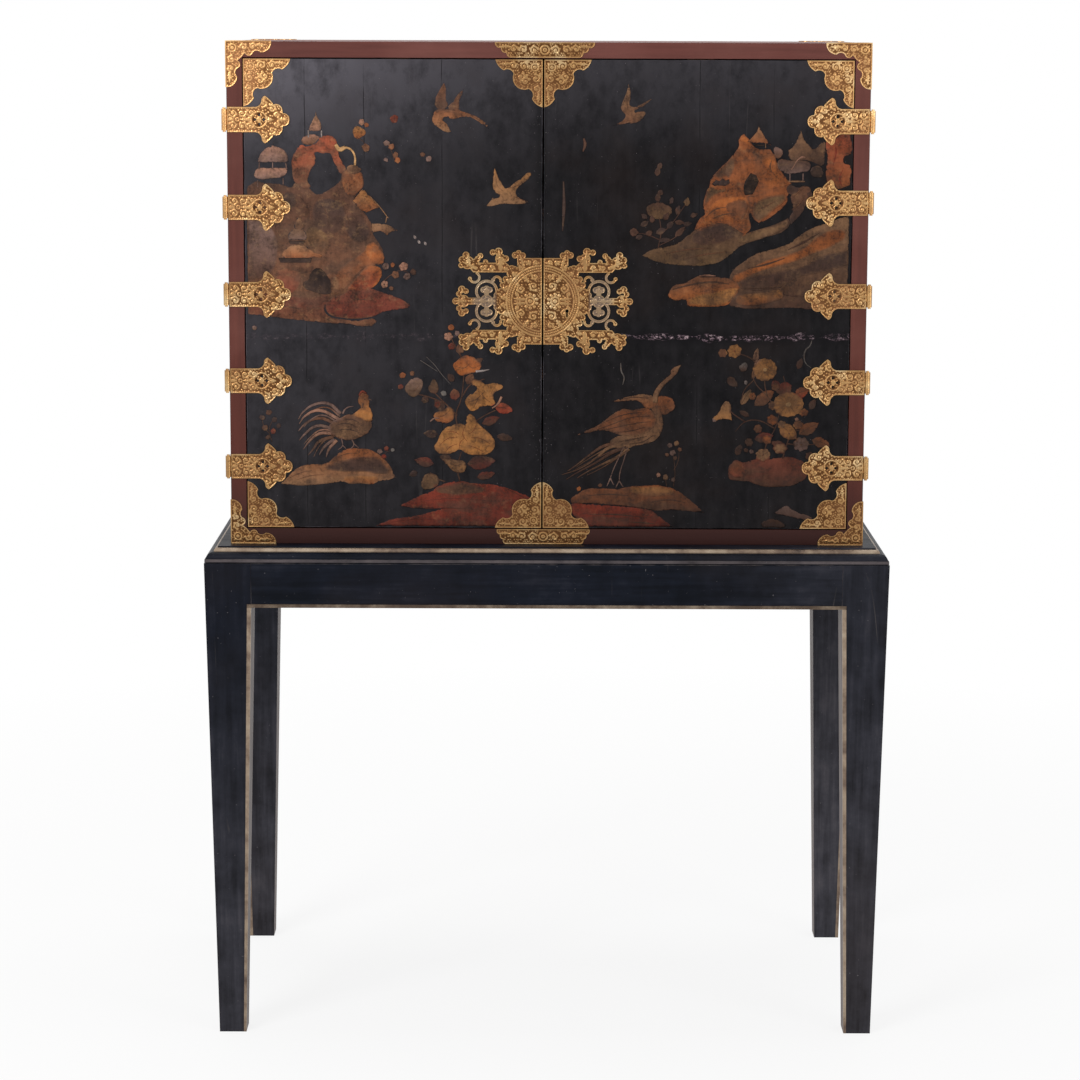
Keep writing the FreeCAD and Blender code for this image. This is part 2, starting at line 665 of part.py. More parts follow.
def side_leaf(side, z):
    """The leaf on the cabinet's side with the barrel's upper and lower knuckles."""
    plate = sheet(leaf_outline(), STRAP_THICKNESS)
    shape = on_side(plate, HINGE_Y - BARREL_RADIUS, z, side)
    inner = KNUCKLE_HALF + RUNNING_CLEARANCE
    reach = HINGE_Y - BARREL_RADIUS + LEAF_ROOT + 1
    pieces = []
    for low, high in ((inner, BARREL_HALF), (-BARREL_HALF, -inner)):
        pieces.append(barrel(side, z + low, z + high, BARREL_RADIUS))
        pieces.append(box(side * SIDE, side * (SIDE + STRAP_THICKNESS), HINGE_Y, reach, z + low, z + high))
    bore = barrel(side, z - STRAP_HALF, z + STRAP_HALF, PIN_RADIUS + PIN_CLEARANCE)
    return shape.fuse(pieces).cut(bore).removeSplitter()


def hinge_pin(side, z):
    pin = barrel(side, z - BARREL_HALF, z + BARREL_HALF, PIN_RADIUS)
    caps = []
    for sign in (1, -1):
        start = z + sign * BARREL_HALF
        low, high = sorted((start, start + sign * PIN_FINIAL))
        caps.append(barrel(side, low, high, PIN_FINIAL))
    return pin.fuse(caps).removeSplitter()


def carcase_corner(x_side, y_side, z_side):
    """A brass corner in three leaves: front or back, side, and top where it is an upper corner.

    It is made as the left, front, lower corner at the origin, with its leaves on the outer faces
    of the wood, and is then mirrored to its own corner.
    """
    t, size = MOUNT_THICKNESS, CARCASE_MOUNT
    flat = sheet(angle_outline(size, BOARD - MOUNT_MARGIN), t)
    front = flat.copy()
    front.rotate(Vector(0, 0, 0), Vector(1, 0, 0), 90)
    flank = front.copy()
    flank.rotate(Vector(0, 0, 0), Vector(0, 0, 1), 90)
    flank = mirrored(flank, Vector(1, 0, 0))
    leaves = [front, flank, box(-t, 0, -t, 0, 0, size)]
    if z_side > 0:
        under = mirrored(flat, Vector(0, 0, 1))
        leaves += [under, box(-t, size, -t, 0, -t, 0), box(-t, 0, -t, size, -t, 0)]
    corner = leaves[0].fuse(leaves[1:]).removeSplitter()
    if x_side == RIGHT:
        corner = mirrored(corner, Vector(1, 0, 0))
    if y_side == FAR:
        corner = mirrored(corner, Vector(0, 1, 0))
    if z_side > 0:
        corner = mirrored(corner, Vector(0, 0, 1))
    edge_y = FRONT if y_side == NEAR else REAR
    corner.translate(Vector(x_side * SIDE, edge_y, CROWN if z_side > 0 else BASE))
    return corner


def carcase_corner_nails(x_side, y_side, z_side):
    """Face points and directions of the nails of one brass corner."""
    edge_y = FRONT if y_side == NEAR else REAR
    edge_z = CROWN if z_side > 0 else BASE
    places = []
    for u, v in CARCASE_MOUNT_NAILS:
        z = edge_z - z_side * v
        out_y = Vector(0, y_side, 0)
        out_x = Vector(x_side, 0, 0)
        places.append((Vector(x_side * (SIDE - u), edge_y + y_side * MOUNT_THICKNESS, z), out_y))
        side_z = z - z_side * SIDE_NAIL_STEP
        places.append((Vector(x_side * (SIDE + MOUNT_THICKNESS), edge_y - y_side * u, side_z), out_x))
    return places


def shelf_levels():
    clear = (HEAD - SILL - SHELF_COUNT * SHELF_THICKNESS) / (SHELF_COUNT + 1)
    return [SILL + clear * (index + 1) + SHELF_THICKNESS * index for index in range(SHELF_COUNT)]


def front_places(nails, x, z, side, v_sign, face):
    """Nails of a plate on the front, from the plate's own u and v."""
    return [(Vector(x - side * u, face, z + v_sign * v), Vector(0, -1, 0)) for u, v in nails]


def centre_mounts():
    """The two brass mounts in the middle of the top and bottom rails, and where their nails go."""
    height = BOARD - 2 * MOUNT_MARGIN
    plates, nails = [], []
    for edge_z, lengths in ((CROWN, (UPPER_CENTRE_LONG, UPPER_CENTRE_SHORT)),
                            (SILL - MOUNT_MARGIN, (LOWER_CENTRE_LONG, LOWER_CENTRE_SHORT))):
        plate = mirrored(sheet(trapezoid_outline(*lengths, height), MOUNT_THICKNESS), Vector(0, 1, 0))
        plates.append(on_front(plate, CENTRE_MOUNT_OFFSET, edge_z, FRONT))
        nails += front_places(CENTRE_MOUNT_NAILS, CENTRE_MOUNT_OFFSET, edge_z, LEFT, -1,
                              FRONT - MOUNT_THICKNESS)
    return plates, nails


def side_leaf_nails(side, z):
    face_x = side * (SIDE + STRAP_THICKNESS)
    start = HINGE_Y - BARREL_RADIUS
    return [(Vector(face_x, start + u, z + v), Vector(side, 0, 0)) for u, v in LEAF_NAILS]


def build_boards(holes):
    """Top, bottom, sides and back, tongued, grooved and rebated into each other."""
    gap = JOINERY_GAP
    tongue_low = (BOARD - TONGUE) / 2
    rebate = box(-INSIDE - BACK_LAP, INSIDE + BACK_LAP, REAR - BACK_THICKNESS, REAR,
                 SILL - BACK_LAP, HEAD + BACK_LAP)
    rod_x = SEAM_LEFT - ROD_FROM_SEAM
    rod_y = DOOR_BACK + ROD_STANDOFF
    socket_top = Vector(rod_x, rod_y, HEAD + ROD_THROW + 1)
    socket_bottom = Vector(rod_x, rod_y, SILL - ROD_THROW - 1)
    socket = rod(ROD_RADIUS + ROD_CLEARANCE, socket_bottom, socket_top)
    for name, z in (("carcase_top", HEAD), ("carcase_bottom", BASE)):
        board = box(-INSIDE, INSIDE, FRONT, REAR, z, z + BOARD)
        tongue = box(-INSIDE - TONGUE, INSIDE + TONGUE, FRONT, REAR, z + tongue_low, z + tongue_low + TONGUE)
        export(name, board.fuse(tongue).removeSplitter().cut([rebate, socket, holes]))
    for x_side, name in ((LEFT, "left_side"), (RIGHT, "right_side")):
        panel = box(x_side * INSIDE, x_side * SIDE, FRONT, REAR, BASE, CROWN)
        grooves = [box(x_side * INSIDE, x_side * (INSIDE + TONGUE + gap), FRONT, REAR,
                       z + tongue_low - gap, z + tongue_low + TONGUE + gap) for z in (HEAD, BASE)]
        export(name, panel.cut(grooves + [rebate, holes]))
    back = box(-INSIDE - BACK_LAP + gap, INSIDE + BACK_LAP - gap, REAR - BACK_THICKNESS, REAR,
               SILL - BACK_LAP + gap, HEAD + BACK_LAP - gap)
    export("back_panel", back.cut(holes))


def build_shelves():
    front = DOOR_BACK + SHELF_SETBACK
    back = REAR - BACK_THICKNESS
    half = INSIDE - JOINERY_GAP
    bearers = []
    for name, z in zip(("lower_shelf", "upper_shelf"), shelf_levels()):
        export(name, box(-half, half, front, back, z, z + SHELF_THICKNESS))
        for x_side in (LEFT, RIGHT):
            bearers.append(box(x_side * INSIDE, x_side * (INSIDE - BEARER_WIDTH),
                               front + BEARER_SETBACK, back, z - BEARER_HEIGHT, z))
    export("shelf_bearers", *bearers)


def build_door_stops():
    """Blocks behind the doors' top and bottom edges."""
    near = DOOR_BACK + RUNNING_CLEARANCE
    stops = []
    for x in (-INSIDE / 2, INSIDE / 2):
        for low in (SILL, HEAD - STOP_SECTION):
            stops.append(box(x - STOP_LENGTH / 2, x + STOP_LENGTH / 2, near, near + STOP_SECTION,
                             low, low + STOP_SECTION))
    export("door_stops", *stops)


def build_carcase():
    corners = []
    centres, nails = centre_mounts()
    for x_side in (LEFT, RIGHT):
        for y_side in (NEAR, FAR):
            for z_side in (1, -1):
                corners.append(carcase_corner(x_side, y_side, z_side))
                nails += carcase_corner_nails(x_side, y_side, z_side)
        for z in hinge_heights(x_side):
            nails += side_leaf_nails(x_side, z)
    holes = Part.makeCompound([nail_hole(*place) for place in nails])
    build_boards(holes)
    build_shelves()
    build_door_stops()
    export("carcase_corner_mounts", *(corner.cut(holes) for corner in corners))
    export("upper_centre_mount", centres[0].cut(holes))
    export("lower_centre_mount", centres[1].cut(holes))
    for x_side, name in ((LEFT, "left"), (RIGHT, "right")):
        heights = hinge_heights(x_side)
        export(f"{name}_hinge_leaves", *(side_leaf(x_side, z).cut(holes) for z in heights))
        export(f"{name}_hinge_pins", *(hinge_pin(x_side, z) for z in heights))
    export("carcase_nails", *(nail(*place) for place in nails))


def door_mounts(side, inner_x):
    """The four brass corners of one door and where their nails go."""
    face = sheet(triangle_outline(DOOR_MOUNT), MOUNT_THICKNESS)
    plates, nails = [], []
    for x, u_side in ((side * DOOR_OUTER, side), (inner_x, -side)):
        for z, v_sign in ((DOOR_LOW, 1), (DOOR_HIGH, -1)):
            plate = face if v_sign > 0 else mirrored(face, Vector(0, 1, 0))
            plates.append(on_front(plate, x, z, DOOR_FACE, u_side))
            nails += front_places(DOOR_MOUNT_NAILS, x, z, u_side, v_sign, DOOR_FACE - MOUNT_THICKNESS)
    return plates, nails


def keyhole():
    """The cutter for the keyhole, through the lock plate and the door."""
    near = DOOR_FACE - LOCK_PLATE_THICKNESS - 1
    far = DOOR_BACK + 1
    round_part = rod(KEYHOLE_RADIUS, Vector(KEYHOLE_X, near, KEYHOLE_Z), Vector(KEYHOLE_X, far, KEYHOLE_Z))
    slot = box(KEYHOLE_X - KEYHOLE_SLOT / 2, KEYHOLE_X + KEYHOLE_SLOT / 2, near, far,
               KEYHOLE_Z - KEYHOLE_DROP, KEYHOLE_Z)
    return round_part.fuse(slot)


def build_lock():
    """A rim lock on the right door's inner face: a case, its sliding bolt, and a keeper on the left door."""
    left = SEAM_RIGHT + LOCK_FROM_SEAM
    right = left + LOCK_WIDTH
    low, high = KEYHOLE_Z - LOCK_HEIGHT / 2, KEYHOLE_Z + LOCK_HEIGHT / 2
    back = DOOR_BACK + LOCK_DEPTH
    bolt_y = DOOR_BACK + BOLT_STANDOFF
    half = BOLT_HEIGHT / 2
    clear = RUNNING_CLEARANCE
    shell = box(left, right, DOOR_BACK, back, low, high)
    hollow = box(left + LOCK_WALL, right - LOCK_WALL, DOOR_BACK, back - LOCK_WALL,
                 low + LOCK_WALL, high - LOCK_WALL)
    mouth = box(left - 1, left + LOCK_WALL + 1, bolt_y - clear, bolt_y + BOLT_THICKNESS + clear,
                KEYHOLE_Z - half - clear, KEYHOLE_Z + half + clear)
    rails = []
    for sign in (1, -1):
        edge = KEYHOLE_Z + sign * (half + clear)
        rails.append(box(left + LOCK_WALL, left + BOLT_BACK, DOOR_BACK + clear, back - LOCK_WALL,
                         edge, edge + sign * GUIDE_RAIL))
    export("lock_case", shell.cut([hollow, mouth]).fuse(rails).removeSplitter())
    notch_low = KEYHOLE_Z - half
    bolt = box(left + clear, left + BOLT_BACK + GUIDE_RAIL, bolt_y, bolt_y + BOLT_THICKNESS,
               notch_low, KEYHOLE_Z + half)
    talon = box(KEYHOLE_X - KEYHOLE_DROP / 2, KEYHOLE_X + KEYHOLE_DROP / 2, bolt_y, bolt_y + BOLT_THICKNESS,
                notch_low, KEYHOLE_Z + KEYHOLE_RADIUS)
    export("lock_bolt", bolt.cut(talon))
    keeper_right = SEAM_LEFT - KEEPER_FROM_SEAM
    keeper_left = keeper_right - KEEPER_WIDTH
    outer = box(keeper_left, keeper_right, DOOR_BACK, bolt_y + BOLT_THICKNESS + clear + KEEPER_WALL,
                KEYHOLE_Z - half - clear - KEEPER_WALL, KEYHOLE_Z + half + clear + KEEPER_WALL)
    pocket = box(keeper_left - 1, keeper_right + 1, DOOR_BACK, bolt_y + BOLT_THICKNESS + clear,
                 KEYHOLE_Z - half - clear, KEYHOLE_Z + half + clear)
    export("lock_keeper", outer.cut(pocket))


def build_door_bolts():
    """Two sliding rods on the left door's inner face that shoot up and down into the carcase."""
    x = SEAM_LEFT - ROD_FROM_SEAM
    y = DOOR_BACK + ROD_STANDOFF
    guides = []
    for name, end, sign in (("upper_bolt", DOOR_HIGH - ROD_SHORT_OF_EDGE, 1),
                            ("lower_bolt", DOOR_LOW + ROD_SHORT_OF_EDGE, -1)):
        tail = end - sign * ROD_LENGTH
        middle = (end + tail) / 2
        shaft = rod(ROD_RADIUS, Vector(x, y, min(end, tail)), Vector(x, y, max(end, tail)))
        knob = rod(KNOB_RADIUS, Vector(x, y, middle), Vector(x, y + KNOB_LENGTH, middle))
        export(name, shaft.fuse(knob).removeSplitter())
        for offset in (GUIDE_SPREAD, -GUIDE_SPREAD):
            z = middle + offset
            block = box(x - GUIDE_WIDTH / 2, x + GUIDE_WIDTH / 2, DOOR_BACK, DOOR_BACK + GUIDE_DEPTH,
                        z - GUIDE_LENGTH / 2, z + GUIDE_LENGTH / 2)
            bore = rod(ROD_RADIUS + RUNNING_CLEARANCE, Vector(x, y, z - GUIDE_LENGTH),
                       Vector(x, y, z + GUIDE_LENGTH))
            guides.append(block.cut(bore))
    export("bolt_guides", *guides)


def build_doors():
    plate_half = joined_sheets(lock_plate_half(), LOCK_PLATE_THICKNESS)
    for side, name, inner_x in ((LEFT, "left", SEAM_LEFT), (RIGHT, "right", SEAM_RIGHT)):
        mounts, nails = door_mounts(side, inner_x)
        lock_plate = on_front(plate_half, inner_x, PLATE_CENTRE, DOOR_FACE, -side)
        plate_face = DOOR_FACE - LOCK_PLATE_THICKNESS
        nails += front_places(LOCK_PLATE_NAILS, inner_x, PLATE_CENTRE, -side, 1, plate_face)
        straps = [hinge_strap(side, z) for z in hinge_heights(side)]
        for z in hinge_heights(side):
            nails += front_places(STRAP_NAILS, side * BARREL_EDGE, z, side, 1, DOOR_FACE - STRAP_THICKNESS)
        holes = [nail_hole(*place) for place in nails]
        if side == RIGHT:
            holes.append(keyhole())
        cutter = Part.makeCompound(holes)
        panel = box(inner_x, side * DOOR_OUTER, DOOR_FACE, DOOR_BACK, DOOR_LOW, DOOR_HIGH)
        export(f"{name}_door", panel.cut(cutter))
        for number, strap in enumerate(straps, start=1):
            export(f"{name}_strap_{number}", strap.cut(cutter))
        export(f"{name}_door_mounts", *(mount.cut(cutter) for mount in mounts))
        export(f"{name}_lock_plate", lock_plate.cut(cutter))
        export(f"{name}_door_nails", *(nail(*place) for place in nails))


build_stand()
build_carcase()
build_doors()
build_lock()
build_door_bolts()
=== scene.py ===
# %% [markdown]
# # A lacquer cabinet on its stand
# The cabinet is black and red-brown lacquer with chased gilt brass mounts, and it stands on a plain
# ebonised frame with tapered legs. Its construction comes ready made from the frame, and this lesson gives
# it the looks: softened edges, worn lacquer, engraved brass and the raised gold pictures on the doors.

# %% Load the construction
import math

import bmesh
import bpy
import numpy as np
from mathutils import Matrix, Vector
from mathutils.kdtree import KDTree


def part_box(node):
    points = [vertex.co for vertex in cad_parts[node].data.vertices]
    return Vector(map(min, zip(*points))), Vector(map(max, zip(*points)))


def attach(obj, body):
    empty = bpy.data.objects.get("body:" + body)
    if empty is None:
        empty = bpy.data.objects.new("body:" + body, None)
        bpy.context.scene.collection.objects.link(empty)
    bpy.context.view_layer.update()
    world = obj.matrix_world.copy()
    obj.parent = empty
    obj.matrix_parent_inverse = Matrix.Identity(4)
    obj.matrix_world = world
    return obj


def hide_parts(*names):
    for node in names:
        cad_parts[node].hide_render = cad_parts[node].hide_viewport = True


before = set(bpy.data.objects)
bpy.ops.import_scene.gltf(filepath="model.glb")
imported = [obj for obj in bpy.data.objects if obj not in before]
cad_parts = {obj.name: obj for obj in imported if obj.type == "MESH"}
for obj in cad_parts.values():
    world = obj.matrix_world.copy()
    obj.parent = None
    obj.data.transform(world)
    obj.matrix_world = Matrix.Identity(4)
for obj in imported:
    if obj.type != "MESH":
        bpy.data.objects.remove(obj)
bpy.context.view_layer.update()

MM = 0.001

# %% [markdown]
# ## The camera
# A long lens a few metres away, a little above the cabinet's top and tilted down, shows the front almost
# square. The turns are applied in the camera's own order: first the roll about its line of sight, then the
# tilt, then the heading. That way each angle keeps its own meaning.

# %% Camera
CAMERA_PLACE = (-0.0175, -4.8415, 1.4949)
CAMERA_TILT_DOWN = math.radians(9.256)
CAMERA_HEADING = math.radians(0.092)
CAMERA_ROLL = math.radians(0.208)

camera_data = bpy.data.cameras.new("camera")
camera_data.lens = 105.26
camera_data.sensor_width = 36.0
camera = bpy.data.objects.new("camera", camera_data)
heading = Matrix.Rotation(-CAMERA_HEADING, 4, "Z")
tilt = Matrix.Rotation(math.pi / 2 - CAMERA_TILT_DOWN, 4, "X")
roll = Matrix.Rotation(CAMERA_ROLL, 4, "Z")
camera.matrix_world = Matrix.Translation(CAMERA_PLACE) @ heading @ tilt @ roll
scene = bpy.context.scene
scene.collection.objects.link(camera)
scene.camera = camera
print("camera at", CAMERA_PLACE, "lens", camera_data.lens)

# %% [markdown]
# ## A small kit for finishes
# Every finish here is a tree of nodes that works out its pattern from the place on the object, so it needs
# no pictures. Written node by node, such a tree is long. This kit makes it read like a sum: a `Value` is
# what one node hands to the next, and adding, multiplying or comparing values adds the Math node that does
# it. A colour is written as a painter's three numbers from 0 to 255.

# %% Values that become Math nodes
class Value:
    """What one node of a tree hands to the next."""

    def __init__(self, tree, socket):
        self.tree, self.socket = tree, socket

    def __add__(self, other):
        return self.tree.maths("ADD", self, other)

    def __sub__(self, other):
        return self.tree.maths("SUBTRACT", self, other)

    def __rsub__(self, other):
        return self.tree.maths("SUBTRACT", other, self)

    def __mul__(self, other):
        return self.tree.maths("MULTIPLY", self, other)

    def __abs__(self):
        return self.tree.maths("ABSOLUTE", self)

    def __lt__(self, level):
        return self.tree.maths("LESS_THAN", self, level)

    def __gt__(self, level):
        return self.tree.maths("GREATER_THAN", self, level)


def srgb(colour):
    """A painter's colour as the shader wants it. A value is passed on as it is."""
    if isinstance(colour, Value):
        return colour
    shares = [channel / 255 for channel in colour]
    linear = [share / 12.92 if share <= 0.04045 else ((share + 0.055) / 1.055) ** 2.4 for share in shares]
    return (*linear, 1.0)


print("white is", srgb((255, 255, 255)))

# %% [markdown]
# A finish asks for the same few nodes again and again: noise for patches and streaks, a ramp that turns a
# level into a colour, a mix that lays one colour over another. They could be joined by hand in the node
# editor. A method for each keeps a finish to a dozen lines that can be read like a recipe.

# %% Trees of nodes
class Tree:
    """A tree of nodes being made: each method adds a node and hands back its value."""

    def __init__(self, nodes):
        self.nodes = nodes

    def value(self, kind, output, inputs=None, **settings):
        node = self.nodes.nodes.new(kind)
        for key, setting in settings.items():
            setattr(node, key, setting)
        for key, given in (inputs or {}).items():
            if isinstance(given, Value):
                self.nodes.links.new(given.socket, node.inputs[key])
            else:
                node.inputs[key].default_value = given
        return Value(self, node.outputs[output])

    def maths(self, operation, first, second=0.0, clamp=False):
        return self.value("ShaderNodeMath", 0, {0: first, 1: second}, operation=operation, use_clamp=clamp)

    def between(self, value, low, high):
        """0 at the first level and 1 at the second, evenly between them; the levels may fall."""
        return self.value("ShaderNodeMapRange", "Result", {"Value": value, "From Min": low, "From Max": high})

    def mix(self, factor, first, second):
        inputs = {0: factor, 6: first, 7: srgb(second)}
        return self.value("ShaderNodeMix", 2, inputs, data_type="RGBA", clamp_factor=True)

    def ramp(self, value, *stops):
        """Greys or colours at places along a value, with even changes between them."""
        coloured = self.value("ShaderNodeValToRGB", "Color", {"Fac": value})
        elements = coloured.socket.node.color_ramp.elements
        while len(elements) < len(stops):
            elements.new(1.0)
        for element, (at, level) in zip(elements, stops):
            element.position = at
            element.color = srgb(level) if isinstance(level, tuple) else (level, level, level, 1.0)
        return coloured

    def place(self, stretch=(1, 1, 1)):
        """The place on the object: a small stretch along one axis draws a pattern out along it."""
        where = self.value("ShaderNodeTexCoord", "Object")
        return self.value("ShaderNodeMapping", "Vector", {"Vector": where, "Scale": stretch})

    def axes(self, vector=None):
        """The three parts of a vector: across, back and up for the place on the object."""
        parts = self.value("ShaderNodeSeparateXYZ", 0, {0: vector or self.place()}).socket.node.outputs
        return [Value(self, part) for part in parts]

    def noise(self, scale, stretch=(1, 1, 1), detail=4.0, roughness=0.55, distortion=0.0, where=None):
        return self.value("ShaderNodeTexNoise", "Fac", {
            "Vector": where or self.place(stretch), "Scale": scale, "Detail": detail, "Roughness": roughness,
            "Distortion": distortion})

    def attribute(self, name, output="Fac"):
        return self.value("ShaderNodeAttribute", output, attribute_name=name)

    def looked_at(self, *kinds):
        """1 for the rays from the camera and for those of some other kinds."""
        seen = self.value("ShaderNodeLightPath", "Is Camera Ray")
        for kind in kinds:
            seen = self.maths("MAXIMUM", seen, self.value("ShaderNodeLightPath", kind))
        return seen


class Finish(Tree):
    """A material for one kind of surface."""

    def __init__(self, name, roughness=0.5, metallic=0.0, specular=0.5):
        self.material = bpy.data.materials.new(name)
        self.material.use_nodes = True
        super().__init__(self.material.node_tree)
        self.surface = self.nodes.nodes["Principled BSDF"].inputs
        self.surface["Roughness"].default_value = roughness
        self.surface["Metallic"].default_value = metallic
        self.surface["Specular IOR Level"].default_value = specular

    def dress(self, colour, roughness, height, bump_distance, strength):
        """Joins the values to the surface and hands back the finished material."""
        inputs = {"Height": height, "Distance": bump_distance, "Strength": strength}
        normal = self.value("ShaderNodeBump", "Normal", inputs)
        for socket, value in (("Base Color", colour), ("Roughness", roughness), ("Normal", normal)):
            if value is not None:
                self.nodes.links.new(value.socket, self.surface[socket])
        return self.material


print("kit ready")

# %% [markdown]
# ## The studio
# Lacquer shows what it reflects, so the light matters as much as the colour. A pale room gives an even
# base, a broad lamp high at the left brightens the upper left of the doors, and a weaker one fills the
# right. The room is white only to the camera and in gloss, which gives the brass something bright to
# reflect and keeps the background clean without adding light.

# %% World and lamps
MIDDLE = (0.0, 0.0, 0.95)
scene.view_settings.view_transform = "Standard"
world = bpy.data.worlds.new("studio")
scene.world = world
world.use_nodes = True
sky = Tree(world.node_tree)
room = world.node_tree.nodes["Background"]
room.inputs["Color"].default_value = (1.0, 0.99, 0.98, 1.0)
room.inputs["Strength"].default_value = 0.42
white = sky.value("ShaderNodeBackground", 0, {"Color": (1.0, 1.0, 1.0, 1.0), "Strength": 1.0})
looked_at = sky.looked_at("Is Glossy Ray", "Is Transmission Ray")
chosen = sky.value("ShaderNodeMixShader", 0, {0: looked_at, 1: Value(sky, room.outputs[0]), 2: white})
world.node_tree.links.new(chosen.socket, world.node_tree.nodes["World Output"].inputs["Surface"])


def lamp(name, at, width, height, watts):
    """A broad lamp that shines at the middle of the cabinet."""
    data = bpy.data.lights.new(name, "AREA")
    data.shape = "RECTANGLE"
    data.size = width
    data.size_y = height
    data.energy = watts
    lamp_object = bpy.data.objects.new(name, data)
    turn = (Vector(MIDDLE) - Vector(at)).to_track_quat("-Z", "Y").to_matrix().to_4x4()
    lamp_object.matrix_world = Matrix.Translation(at) @ turn
    scene.collection.objects.link(lamp_object)


lamp("key_lamp", (-2.6, -3.6, 3.0), 1.8, 1.8, 130)
lamp("fill_lamp", (3.2, -3.2, 1.6), 1.6, 2.2, 45)
lamp("top_lamp", (0.0, 0.4, 3.8), 2.4, 1.6, 45)
print("lamps:", len(bpy.data.lights))

# %% [markdown]
# ## The floor
# A plain sheet under the stand. It is white far away and nearly white under the stand, where a share of
# what the camera sees is real shaded floor, so that it keeps a soft shadow round the feet and has no line
# at its far end.

# %% Floor
FLOOR_HALF = 30.0
floor_mesh = bpy.data.meshes.new("floor")
sheet = bmesh.new()
bmesh.ops.create_grid(sheet, x_segments=1, y_segments=1, size=FLOOR_HALF)
sheet.to_mesh(floor_mesh)
sheet.free()
floor = bpy.data.objects.new("floor", floor_mesh)
scene.collection.objects.link(floor)

pale = Finish("pale_floor", roughness=0.9, specular=0.1)
pale.surface["Base Color"].default_value = (0.86, 0.86, 0.86, 1.0)
glow = pale.value("ShaderNodeEmission", 0, {"Strength": 1.0})
away = pale.value("ShaderNodeVectorMath", "Value", {0: pale.place()}, operation="LENGTH")
share = pale.looked_at("Is Glossy Ray") * pale.ramp(away * 0.4, (0.15, 0.84), (1.0, 1.0))
shaded = Value(pale, pale.nodes.nodes["Principled BSDF"].outputs[0])
blend = pale.value("ShaderNodeMixShader", 0, {0: share, 1: shaded, 2: glow})
pale.nodes.links.new(blend.socket, pale.nodes.nodes["Material Output"].inputs["Surface"])
floor_mesh.materials.append(pale.material)
print("floor ready")

# %% [markdown]
# ## Ebonised wood
# The stand is wood stained and polished black. Polish wears in long streaks along the grain, it picks up fine
# pale scratches, and the sharp edges go grey first. The grain of a leg runs up and the grain of a rail runs
# along, so the pattern is stretched along an axis that each piece chooses.

# %% Wear of edges, and scratches
GRAIN = {"x": (1.2, 22, 22), "y": (22, 1.2, 22), "z": (22, 22, 1.2)}


def edge_wear(finish, amount):
    """How worn an edge is: the bevelled faces carry the attribute, and noise breaks it up."""
    patches = finish.ramp(finish.noise(35.0), (0.42, 0.0), (0.62, 1.0))
    return finish.attribute("edge") * patches * amount


def scratches(finish, scale, cut):
    """Thin broken lines where a stretched noise passes its middle."""
    slanted = finish.value("ShaderNodeMapping", "Vector", {
        "Vector": finish.place(), "Rotation": (0.3, 0.5, 0.2), "Scale": (1.0, 1.0, 0.03)})
    thin = abs(finish.noise(scale, detail=0.0, where=slanted) - 0.5) < cut
    return thin * finish.ramp(finish.noise(9.0), (0.56, 0.0), (0.66, 1.0))


print("grain along:", list(GRAIN))

# %% [markdown]
# The same wood is needed with its grain along each of the three axes. One material could follow a turned
# object, but a finished piece here keeps its place in its mesh and isn't turned. So one function makes the
# finish once for each axis.

# %% Wood finishes of the stand
LIP_LOW, LIP_HIGH, LIP_FADE = 0.7175, 0.7222, 0.0006


def ebonised(grain):
    """Lighter low down and at the outer sides as painted light, with a painted warm brown reflection on the
    legs' faces towards the middle and a lighter band along the lip, partly rubbed and partly a painted
    highlight.
    """
    wood = Finish(f"ebonised_wood_{grain}", roughness=0.42, specular=0.08)
    across, back, up = wood.axes()
    # Painted light: the wood is lighter low down and at the outer sides.
    lighter_by_painted_light = wood.between(up, 0.62, 0.05) * 0.75
    for axis, start, end, most in ((across, 0.2, 0.47, 0.30), (back, 0.1, 0.22, 0.25)):
        lighter_by_painted_light = wood.maths("ADD", lighter_by_painted_light, wood.between(axis, start, end) * most, clamp=True)
    streaks = wood.noise(5.0, GRAIN[grain], detail=6.0, roughness=0.6)
    mottle = wood.noise(16.0, detail=5.0, roughness=0.65)
    uneven = streaks * 0.5 + mottle * 0.6
    dark = wood.ramp(uneven, (0.42, (5, 8, 16)), (0.60, (15, 19, 29)), (0.75, (33, 35, 44)))
    pale = wood.ramp(uneven, (0.42, (38, 37, 41)), (0.60, (60, 59, 65)), (0.75, (78, 75, 80)))
    clouds = wood.ramp(wood.noise(3.0, detail=3.0), (0.50, 0.0), (0.72, 0.45))
    tone = wood.mix(clouds, wood.mix(lighter_by_painted_light, dark, pale), (34, 28, 27))
    if grain == "z":
        # Painted reflection: the legs' faces that look towards the middle are painted a warm pale brown.
        facing = wood.axes(wood.value("ShaderNodeNewGeometry", "Normal"))[0]
        inner_face_reflection = facing * across < -0.2
        tone = wood.mix(inner_face_reflection * 0.6, tone, (112, 97, 92))
    else:
        # The moulding's lip is painted lighter, partly rubbed polish and partly a painted highlight.
        lip = wood.between(up, LIP_LOW, LIP_LOW + LIP_FADE) * wood.between(up, LIP_HIGH, LIP_HIGH - LIP_FADE)
        tone = wood.mix(lip * wood.ramp(mottle, (0.35, 0.35), (0.6, 0.95)), tone, (86, 79, 80))
    flecks = wood.noise(300.0, detail=2.0) > 0.755
    flecked = wood.mix(flecks * 0.5, tone, (130, 126, 128))
    marked = wood.mix(scratches(wood, 14.0, 0.002) * 0.2, flecked, (118, 110, 104))
    worn = wood.mix(edge_wear(wood, 0.7), marked, (92, 85, 84))
    return wood.dress(worn, wood.ramp(streaks, (0.2, 0.34), (0.8, 0.56)), streaks, 0.0003, 0.5)


EBONISED = {grain: ebonised(grain) for grain in GRAIN}
print("stand finishes:", len(EBONISED))
